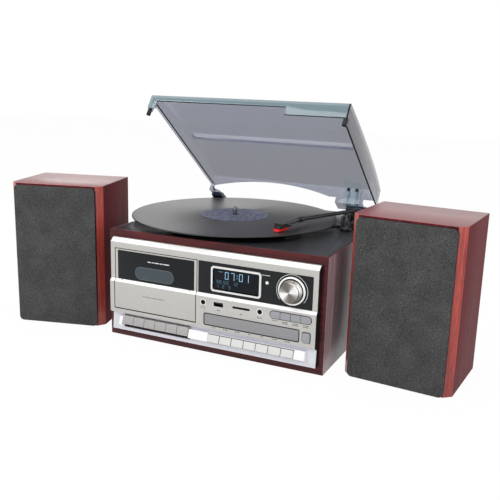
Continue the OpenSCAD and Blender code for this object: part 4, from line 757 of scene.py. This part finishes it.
def make_gap_shade():
    """Painted shade: thin dark lines in the gaps round the drawer, the buttons, the tape door and each
    play button.
    """
    proud, upper, thick = MID_Y - 0.08 * MM, UPPER_Y - 0.08 * MM, 0.3 * MM
    pill_low, pill_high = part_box("mode_button_1")[0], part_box("mode_button_4")[1]
    power_low, power_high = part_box("power_button")
    gap_shades = []
    for low, high, corner, air, line in ((TRAY_LOW, TRAY_HIGH, 2.6 * MM, 1.3 * MM, 1.2 * MM),
                                         (pill_low, pill_high, 5.0 * MM, 0.9 * MM, 0.85 * MM),
                                         (power_low, power_high, 2.6 * MM, 0.9 * MM, 0.85 * MM)):
        spot = ((low.x + high.x) / 2, proud, (low.z + high.z) / 2)
        size = (high.x - low.x + 2 * air, high.z - low.z + 2 * air)
        gap_shades.append(rounded_plate("border", spot, FRONT, size, corner, thick, line))
    # Painted shade in the gap round the tape door, in the plane of each zone of the fascia
    left, right = PANE_LOW.x - 3.8 * MM, PANE_HIGH.x + 3.8 * MM
    air, line = 0.05 * MM, 1.1 * MM
    foot, step, top = DOOR_LOW.z - 1.5 * MM, PANEL_LOW.z - 3.9 * MM, DOOR_HIGH.z + line
    gaps = [((x, front, low_z), (x + line, front + thick, high_z))
            for front, low_z, high_z in ((proud, foot, step), (upper, PANEL_LOW.z, top))
            for x in (left - line - air, right + air)]
    gaps += [((left, proud, foot), (right, proud + thick, DOOR_LOW.z - air)),
             ((left, upper, DOOR_HIGH.z + air), (right, upper + thick, top))]
    gap_shades += [slab("gap", low, high, 0.1 * MM, 1) for low, high in gaps]
    # Painted shade round each play button, as a dark frame on the slope of the rail
    slope = Vector((0, -0.958, 0.288))
    frame_y, frame_high = FASCIA_LOW.y + 1.55 * MM, 11.4 * MM
    for i in range(1, 8):
        low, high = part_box(f"play_button_{i}")
        size = (high.x - low.x + 1.4 * MM, frame_high)
        spot = Vector(((low.x + high.x) / 2, frame_y, (low.z + high.z) / 2))
        gap_shades.append(rounded_plate("frame", spot, slope, size, 0.8 * MM, thick, 0.7 * MM))
    finish(join(gap_shades, "dark_borders"), SHADOW_BLACK, "unit")


def make_socket_rims():
    """Pale rims round the two jacks and plated rims round the stick and card slots."""
    phones = MOUNTS["phones_jack"]
    rims = []
    for name in ("phones_jack", "aux_jack"):
        spot = (MOUNTS[name].x, MID_Y - 0.25 * MM, MOUNTS[name].z)
        rims.append(plate_ring("rim", spot, FRONT, 3.5 * MM, 4.3 * MM, 0.4 * MM))
    finish(soften(join(rims, "jack_rims"), 0.1 * MM), HIGHLIGHT_AND_PALE_SILVER, "unit")
    slots = []
    # The stick's slot and the card's, by shift from the first jack, size, corner and line in mm
    for shift, wide, high, corner, line in ((22.4, 15.4, 7.4, 0.6, 0.6), (54.8, 25.6, 4.4, 0.5, 0.5)):
        spot = (phones.x + shift * MM, MID_Y - 0.1 * MM, phones.z)
        slots.append(rounded_plate("slot", spot, FRONT, (wide * MM, high * MM), corner * MM, 0.3 * MM,
                                   line * MM))
    finish(join(slots, "slot_rims"), FRAME_SILVER, "unit")


SEGMENTS = {"0": "abcdef", "1": "bc", "2": "abged", "3": "abgcd", "4": "fgbc", "5": "afgcd",
            "6": "afgecd", "7": "abc", "8": "abcdefg", "9": "abcdfg"}


def mark(x0, z0, x1, z1, front_y, thick=0.2 * MM, rounding=0.05 * MM):
    """A thin bar on the front, from its lower left to its upper right corner."""
    return slab("mark", (x0, front_y, z0), (x1, front_y + thick, z1), rounding, 1)


def digit(sign, x, z, width, height, stroke, front_y):
    """One seven-segment numeral, its lower left corner at x, z."""
    half = height / 2
    shy = 0.1 * MM
    places = {
        "a": (x, z + height - stroke, x + width, z + height),
        "g": (x, z + half - stroke / 2, x + width, z + half + stroke / 2),
        "d": (x, z, x + width, z + stroke),
        "f": (x, z + half, x + stroke, z + height),
        "e": (x, z, x + stroke, z + half),
        "b": (x + width - stroke, z + half, x + width, z + height),
        "c": (x + width - stroke, z, x + width, z + half)}
    made = []
    for part in SEGMENTS.get(sign, ""):
        x0, z0, x1, z1 = places[part]
        made.append(mark(x0 + shy, z0 + shy, x1 - shy, z1 - shy, front_y))
    return made


def numerals(words, x, z, width, height, stroke, step, front_y):
    """A row of numerals, with a blank for a space; a colon or a dot takes only part of a step."""
    made = []
    narrow = 0.38
    for sign in words:
        if sign in ":.":
            for level in ([0.3, 0.65] if sign == ":" else [0.0]):
                low = z + level * height
                made.append(mark(x, low, x + stroke, low + stroke, front_y))
            x += step * narrow
        else:
            made += digit(sign, x, z, width, height, stroke, front_y)
            x += step
    return made


def make_display():
    """Plain numbers behind the glass, and the dark bezel round it."""
    front_y = WINDOW_LOW.y - 0.12 * MM
    left = WINDOW_LOW.x + 4.5 * MM
    clock_z = WINDOW_HIGH.z - 12.4 * MM
    clock = numerals("07:01", left + 12 * MM, clock_z, 5.2 * MM, 9.8 * MM, 0.95 * MM, 8.4 * MM, front_y)
    finish(join(clock, "display_clock"), DIGITS, "unit")
    small = []
    for words, drop in (("98.50 12", 6.6 * MM), ("1 2 3", 12.4 * MM)):
        small += numerals(words, left, clock_z - drop, 2.7 * MM, 4.4 * MM, 0.5 * MM, 4.3 * MM, front_y)
    small.append(mark(left + 3 * MM, WINDOW_HIGH.z - 3.6 * MM, left + 9 * MM, WINDOW_HIGH.z - 3.0 * MM,
                      front_y, rounding=0))
    finish(join(small, "display_lines"), SMALL_DIGITS, "unit")
    middle = (WINDOW_LOW + WINDOW_HIGH) / 2
    spot = (middle.x, FASCIA_LOW.y + 1.9 * MM, middle.z)
    size = (WINDOW_HIGH.x - WINDOW_LOW.x + 1.6 * MM, WINDOW_HIGH.z - WINDOW_LOW.z + 1.6 * MM)
    bezel = rounded_plate("display_bezel", spot, FRONT, size, 2.0 * MM, 0.3 * MM, 1.1 * MM)
    finish(bezel, DISPLAY_GLASS, "unit")


def bar_row(x, z, widths_mm, height, gap, front_y):
    """A row of small printed bars, which stands for a line of print."""
    made = []
    for width in widths_mm:
        made.append(mark(x, z, x + width * MM, z + height, front_y, thick=0.15 * MM,
                         rounding=0.04 * MM))
        x += width * MM + gap
    return made


def triangle(x, z, size, front_y, forward=True):
    """A printed arrowhead."""
    put_down()
    bpy.ops.mesh.primitive_cylinder_add(vertices=3, radius=size, depth=0.15 * MM,
                                        location=(x, front_y + 0.07 * MM, z),
                                        rotation=(math.pi / 2, 0 if forward else math.pi, 0))
    return soften(settle(bpy.context.object), 0.03 * MM, 1)


def headphone_sign(x, z, front_y):
    """The usual sign for headphones: a half ring over two small ears."""
    arc = plate_ring("arc", (x, front_y, z), FRONT, 1.7 * MM, 2.1 * MM, 0.15 * MM, 32)
    edit(arc)
    bpy.ops.mesh.bisect(plane_co=(x, 0, z), plane_no=(0, 0, 1), clear_inner=True, use_fill=True)
    put_down()
    return [arc] + bar_row(x - 2.3 * MM, z - 1.5 * MM, (0.9, 0.9), 1.7 * MM, 2.8 * MM, front_y)


def middle_x(name):
    """Where the middle of a node lies across the front."""
    low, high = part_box(name)
    return (low.x + high.x) / 2


def make_fascia_print():
    """Plain marks under the sockets and buttons and on the tape door: bars and tape signs."""
    mid = MID_Y - 0.06 * MM
    ink = headphone_sign(MOUNTS["phones_jack"].x, 66.8 * MM, mid)
    under_sockets = 65.2 * MM
    for centre, widths in ((17.6, (4.2,)), (50, (3.2,)), (76.1, (3.0, 3.0))):
        total = sum(widths) + 0.8 * (len(widths) - 1)
        ink += bar_row((centre - total / 2) * MM, under_sockets, widths, 0.9 * MM, 0.8 * MM, mid)
    under_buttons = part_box("mode_button_1")[0].z - 3.4 * MM
    for i in range(4):
        for row in range(2 if i else 1):
            ink += bar_row(middle_x(f"mode_button_{i + 1}") - 4.0 * MM, under_buttons - 1.9 * row * MM,
                           (2.6, 4.2), 0.8 * MM, 0.7 * MM, mid)
    # Labels over the play buttons, at the foot of the middle zone
    label_z, arrow_z, arrow = 40.2 * MM, 41.1 * MM, 1.1 * MM
    arrows = {1: ((-1, True),), 4: ((-0.9, False), (0.9, False)), 5: ((-0.9, True), (0.9, True))}
    # Each row of bars in mm: shift from the button's middle, lift, widths, height and gap
    words = ((-3.6, 0.4, (2.4, 4.2), 0.9, 0.6),)
    rows = {1: ((1.0, 0, (0.6, 0.6), 1.8, 0.6),), 4: (), 5: (),
            3: ((-3, 0, (1.6,), 1.6, 0), (-0.6, 0.4, (4.4,), 0.9, 0))}
    for i in range(1, 8):
        centre = middle_x(f"play_button_{i}")
        for shift, onward in arrows.get(i, ()):
            ink.append(triangle(centre + shift * MM, arrow_z, arrow, mid, onward))
        for shift, lift, widths, height, gap in rows.get(i, words):
            ink += bar_row(centre + shift * MM, label_z + lift * MM, widths, height * MM, gap * MM, mid)
    finish(join(ink, "fascia_print"), PRINT_BLACK, "unit")
    door_words = (3.4, 2.2, 4.0, 1.6, 5.2, 3.0, 4.2, 2.4)
    door = bar_row(-98 * MM, 65.5 * MM, door_words, 1.1 * MM, 1.1 * MM, mid)
    finish(join(door, "tape_door_print"), PRINT_GREY, "tape_door")
    window = bar_row(-92 * MM, PANE_HIGH.z - 11.5 * MM, (5.5, 3.0, 7.0, 4.0, 9.0), 1.3 * MM, 1.3 * MM,
                     PANE_LOW.y - 0.06 * MM)
    finish(join(window, "tape_window_print"), PRINT_WHITE, "tape_door")
    panel = bar_row(76 * MM, PANEL_HIGH.z - 7 * MM, (4.4, 6.4), 0.7 * MM, 0.6 * MM,
                    PANEL_LOW.y - 0.06 * MM)
    finish(join(panel, "display_panel_print"), PRINT_WHITE, "unit")


def make_knob():
    """Turned knob: a polished flange painted pale as its reflection, a stepped body with its groove
    painted dark as shade, and a slightly hollow face.
    """
    back = Vector((KNOB_CENTRE.x, KNOB_HIGH.y, KNOB_CENTRE.z))
    length = KNOB_HIGH.y - KNOB_LOW.y
    rim = (KNOB_HIGH.x - KNOB_LOW.x) / 2
    # How far each turn lies inside the rim and over the panel, and at the face how far below it
    flange = ((0.4, 0), (0, 0.4), (0, 1.2), (0.7, 2.0), (1.7, 2.3), (2.3, 1.7), (3.0, 1.7), (3.4, 2.6),
              (3.7, 5.0), (4.2, 5.3), (4.3, 8.0), (4.8, 8.4))
    profile = [(rim - inside * MM, over * MM) for inside, over in flange]
    face_edge = ((5.2, 1.0), (6.1, 0), (6.7, 0.2))
    profile += [(rim - inside * MM, length - below * MM) for inside, below in face_edge]
    profile.append((0.3 * MM, length - 0.7 * MM))
    knob = turned("volume_knob_turned", back, FRONT, profile, 96)
    finish(knob, KNOB_METAL, "volume_knob")
    across = Vector((1, 0, 1))
    bright_from, dark_from, dark_y = rim - 2.2 * MM, rim - 3.6 * MM, back.y - 3 * MM
    # Painted reflection: the polished flange is painted pale; painted shade: the groove inside it is
    # painted dark
    repaint(knob, HIGHLIGHT_AND_PALE_SILVER, lambda c, n: ((c - back) * across).length > bright_from)
    repaint(knob, SHADOW_BLACK, lambda c, n: dark_from < ((c - back) * across).length < bright_from
            and c.y > dark_y)
    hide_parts("volume_knob")
    # Printed arc round the knob, open at the foot
    centre = Vector((KNOB_CENTRE.x, PANEL_LOW.y - 0.06 * MM, KNOB_CENTRE.z))
    arc = plate_ring("volume_scale", centre, FRONT, 20.3 * MM, 20.9 * MM, 0.1 * MM, 96)
    edit(arc)
    bpy.ops.mesh.bisect(plane_co=centre - Vector((0, 0, 13 * MM)), plane_no=(0, 0, -1), clear_outer=True,
                        use_fill=True)
    put_down()
    finish(arc, PRINT_WHITE, "unit")


def make_play_buttons():
    """White buttons as a painted highlight, with their sides painted dark as shade."""
    for i in range(1, 8):
        cap = dressed(f"play_button_{i}", BUTTON_HIGHLIGHT_WHITE, 0.5, 3)
        # Painted shade on the caps' sides
        repaint(cap, SHADOW_BLACK, lambda c, n: n.y > -0.3)


# Tape deck

def make_tape_deck():
    """Door with a painted highlight on its ledge, and the clear oval in its window."""
    # Painted highlight on the door's ledge
    repaint(dressed("tape_door", SILVER, 0.3), HIGHLIGHT_AND_PALE_SILVER, on_ledge)
    # The oval lies low and left of the window's middle, with a paler rim as a painted highlight
    wide, high = 59 * MM, 16.5 * MM
    centre = Vector((middle_x("tape_window") - 1.5 * MM, PANE_LOW.y - 0.2 * MM, PANE_LOW.z + 12 * MM))
    oval = rounded_plate("tape_oval", centre, FRONT, (wide, high), 7.9 * MM, 0.4 * MM)
    finish(oval, FROSTED, "tape_door")
    rim = rounded_plate("tape_oval_rim", centre - Vector((0, 0.1 * MM, 0)), FRONT,
                        (wide + 1.2 * MM, high + 1.2 * MM), 8.4 * MM, 0.4 * MM, 0.6 * MM)
    finish(rim, OVAL_RIM_HIGHLIGHT, "tape_door")


# Record player

def make_label():
    """Paper label on the record, open round the spindle."""
    centre = Vector((SPINDLE.x, SPINDLE.y, RECORD_HIGH.z + 0.18 * MM))
    label = plate_ring("record_label", centre, UP, 3.7 * MM, 50 * MM, 0.25 * MM, 96)
    finish(label, LABEL, "turntable")


def make_shell():
    """Cartridge shell with a paler top from a painted sheen, and the finger lift on its outer side."""
    shell = dressed("headshell", BLACK, 0.6, 3)
    # Painted sheen: the upward faces of the top take a paler grey
    repaint(shell, MECHANISM, lambda c, n: n.z > 0.95 and c.z > PIVOT.z + 2 * MM)
    low, high = Vector((6.5, -52, 0.2)) * MM, Vector((15, -49, 1.6)) * MM
    lift = slab("finger_lift", low, high, 0.5 * MM, 3)
    place(lift, SHELL_ROOT + Vector((0, 0, PIVOT.z)), SHELL_TURN)
    finish(lift, BLACK, "tonearm")


# Dust cover

def shut_way(direction):
    """A direction on the open cover, as it points when the cover is closed."""
    return Matrix.Rotation(COVER_OPEN, 3, "X") @ direction


def shut(point):
    """A point of the open cover, as it lies when the cover is closed."""
    return shut_way(point - HINGE) + HINGE


def open_way(direction):
    """A direction on the closed cover, as it points when the cover stands open."""
    return Matrix.Rotation(-COVER_OPEN, 3, "X") @ direction


def opened(point):
    """A point of the closed cover, as it lies when the cover stands open."""
    return open_way(Vector(point) - HINGE) + HINGE


def make_cover():
    """Cover in zones, each painted as dark or as pale as reflections and shade make the acrylic look
    there, with its two screws.
    """
    cover = dressed("dust_cover", ACRYLIC_ROOF, 0.5)
    shut_points = [shut(v.co) for v in cover.data.vertices]
    front_y = min(p.y for p in shut_points)
    half = max(p.x for p in shut_points)
    top_z = max(p.z for p in shut_points)
    rear_y = front_y + 232.6 * MM
    wall = 2.3 * MM
    rim_z = HINGE.z + 3.5 * MM
    strip_top = rim_z + 22 * MM
    rib_y = (front_y + 101 * MM, front_y + 116 * MM)
    rib_z = (rim_z + 25 * MM, top_z - 4 * MM)
    tab_y, tab_top = rear_y - 14 * MM, rim_z + 28 * MM
    left_x = -half + 10 * MM
    plate_x = (88 * MM, 116 * MM)
    gussets = (94.2 * MM, 107.5 * MM)
    # Painted shade: the right wall's own edge shows as a dark line beside the front skirt
    split(cover, opened((half - wall, front_y, HINGE.z)), (1, 0, 0))
    for x in (plate_x[0] + 1 * MM, plate_x[1] - 1 * MM):
        split(cover, (x, 0, 0), (1, 0, 0))

    def painted(material, chosen):
        repaint(cover, material, lambda c, n: chosen(shut(c), shut_way(n)))

    # Zones of painted reflection (front skirt, side skirt, ribs, hinge plate) and of painted shade
    # (gussets, and edges seen edge on)
    painted(ACRYLIC_FRONT, lambda c, n: c.y < front_y + wall + 0.4 * MM and abs(n.y) > 0.6)
    painted(ACRYLIC_SIDE, lambda c, n: n.x > 0.8 and c.x > half - 6 * MM)
    painted(ACRYLIC_RIB, lambda c, n: rib_z[0] < c.z < rib_z[1] and rib_y[0] < c.y < rib_y[1]
            and c.x > left_x)
    painted(ACRYLIC_TAB, lambda c, n: plate_x[0] < c.x < plate_x[1] and c.y > tab_y and c.z < tab_top)
    for x in gussets:
        painted(ACRYLIC_BAR, lambda c, n, x=x: abs(c.x - x) < 2 * MM and c.y > rear_y - 1 * MM)
    painted(ACRYLIC_EDGE, lambda c, n: n.z < -0.7 and c.y < rear_y - 4 * MM and c.z < strip_top
            and c.x > left_x)
    painted(ACRYLIC_RIB, lambda c, n: n.z < -0.7 and c.z < strip_top and c.x < left_x)
    painted(ACRYLIC_EDGE, lambda c, n: c.z < strip_top and c.x < left_x and n.x > 0.9)
    painted(ACRYLIC_EDGE, lambda c, n: c.x > half - wall and c.y < front_y + 0.6 * MM)
    painted(ACRYLIC_EDGE, lambda c, n: 0.3 < abs(n.x) < 0.95 and n.z > 0.3)
    painted(ACRYLIC_EDGE, lambda c, n: n.y < -0.3 and n.z > 0.3)
    spots = [opened((x, rear_y - wall, rim_z + 22.5 * MM)) for x in gussets]
    screws("cover_screws", spots, open_way(FRONT), BLACK, "dust_cover")


# Nodes that take one material all over, with the width and segments of their rounded edges in mm

PLAIN_NODES = (
    ("back_panel", HARDBOARD), ("feet", RUBBER, 0.4), ("amplifier_board", PAINTED_CORE),
    ("jack_sockets", BLACK), ("left_driver", BLACK), ("right_driver", BLACK),
    ("display_panel", GLOSS_BLACK, 0.15), ("display_window", DISPLAY_GLASS, 0.2),
    ("power_button", KEY_COOL, 0.5, 3), ("tape_window", WINDOW, 0.3), ("tape_mechanism", MECHANISM),
    ("reel_hub_left", WHITE_PLASTIC, 0.2), ("reel_hub_right", WHITE_PLASTIC, 0.2),
    ("disc_tray", TRAY, 0.35), ("disc_loader", MECHANISM), ("disc_hub", WHITE_PLASTIC, 0.2),
    ("deck_plate", DECK, 0.3), ("platter", RUBBER, 0.3), ("platter_motor", STEEL),
    ("motor_pulley", BRASS), ("drive_belt", RUBBER), ("spindle", PIN_STEEL, 0.4, 3),
    ("record", VINYL, 0.5, 3), ("tonearm_base", BLACK, 0.4), ("arm_yoke", BLACK, 0.5, 3),
    ("tonearm", BLACK, 0.3), ("stylus", STYLUS_RED, 0.3), ("cue_lever", BLACK, 0.3),
    ("speed_selector", BLACK, 0.5), ("hinge_knuckles", BLACK, 0.4), ("hinge_blocks", BLACK, 0.3),
    ("lid_bumpers", RUBBER, 0.3), *[(f"tape_key_{i}", KEY, 0.5, 3) for i in range(1, 7)],
    *[(f"mode_button_{i}", KEY_COOL, 0.35) for i in range(1, 5)])


# Stage, light and camera

def seen_directly(tree):
    """One for a ray from the camera, a mirror or clear acrylic, and nothing for scattered light."""
    path = node(tree, "LightPath")
    seen = node(tree, "Math", {0: path.outputs["Is Camera Ray"], 1: path.outputs["Is Glossy Ray"]},
                operation="MAXIMUM")
    return node(tree, "Math", {0: seen, 1: path.outputs["Is Transmission Ray"]}, operation="MAXIMUM")


def make_stage():
    """A pale floor that is nearly as white as the backdrop where it is looked at."""
    put_down()
    bpy.ops.mesh.primitive_plane_add(size=8, location=(0, 0, TABLE_Z))
    floor = bpy.context.object
    floor.name = "floor"
    made, tree, shader, _ = new_material("pale studio floor", base_color=rgb("#f2f2f2"), roughness=0.9)
    glow = node(tree, "Emission", {"Color": (1, 1, 1, 1), "Strength": 1.0})
    share = node(tree, "Math", {0: seen_directly(tree), 1: 0.97}, operation="MULTIPLY")
    mixed = node(tree, "MixShader", {0: share, 1: shader, 2: glow})
    feed(tree.nodes["Material Output"], {"Surface": mixed})
    floor.data.materials.append(made)


def make_light():
    """A white backdrop that lights the scene at half its strength, and four softboxes."""
    world = bpy.data.worlds.new("studio")
    bpy.context.scene.world = world
    world.use_nodes = True
    tree = world.node_tree
    light = tree.nodes["Background"]
    feed(light, {"Color": (1, 1, 1, 1), "Strength": 0.5})
    white = node(tree, "Background", {"Color": (1, 1, 1, 1), "Strength": 1.0})
    mixed = node(tree, "MixShader", {0: seen_directly(tree), 1: light, 2: white})
    feed(tree.nodes["World Output"], {"Surface": mixed})
    # Name, place, height aimed at, width in metres and power in watts
    for name, spot, aim_z, width, power in (("key_light", (-0.9, -1.5, 1.5), 0.1, 1.1, 24),
                                            ("fill_light", (1.6, -1.0, 0.9), 0.1, 1.0, 10),
                                            ("top_light", (0.0, 0.3, 1.8), 0.1, 1.2, 12),
                                            ("rim_light", (-1.8, 1.95, 1.1), 0.15, 0.7, 2.4)):
        lamp = bpy.data.lights.new(name, "AREA")
        lamp.shape = "SQUARE"
        lamp.size = width
        lamp.energy = power
        holder = bpy.data.objects.new(name, lamp)
        holder.location = spot
        aim = Vector((0, 0, aim_z)) - Vector(spot)
        holder.rotation_euler = aim.to_track_quat("-Z", "Y").to_euler()
        bpy.context.scene.collection.objects.link(holder)


def make_camera():
    """The photograph's viewpoint, solved from the record's ellipse and the cabinet's edges."""
    spot = Vector((418.22, -936.98, 358.83)) * MM
    yaw, pitch, roll = -0.4329, 0.2383, 0.0285
    lens = 51.08
    level = Vector((math.cos(yaw), -math.sin(yaw), 0))
    ahead = Vector((math.sin(yaw), math.cos(yaw), 0))
    forward = ahead * math.cos(pitch) - UP * math.sin(pitch)
    upward = level.cross(forward)
    right = level * math.cos(roll) + upward * math.sin(roll)
    up = upward * math.cos(roll) - level * math.sin(roll)
    data = bpy.data.cameras.new("camera")
    data.sensor_width = 36
    data.lens = lens
    data.clip_start, data.clip_end = 0.05, 30
    holder = bpy.data.objects.new("camera", data)
    turn = Matrix((right, up, -forward)).transposed().to_4x4()
    holder.matrix_world = Matrix.Translation(spot) @ turn
    bpy.context.scene.collection.objects.link(holder)
    bpy.context.scene.camera = holder


make_camera()
make_stage()
make_light()
make_cabinet()
make_speakers()
make_fascia()
make_display()
make_fascia_print()
make_knob()
make_play_buttons()
make_tape_deck()
make_label()
make_shell()
make_cover()
for row in PLAIN_NODES:
    dressed(*row)
bpy.data.objects.remove(SCREW)
put_down()
bpy.context.scene.view_settings.view_transform = "Standard"
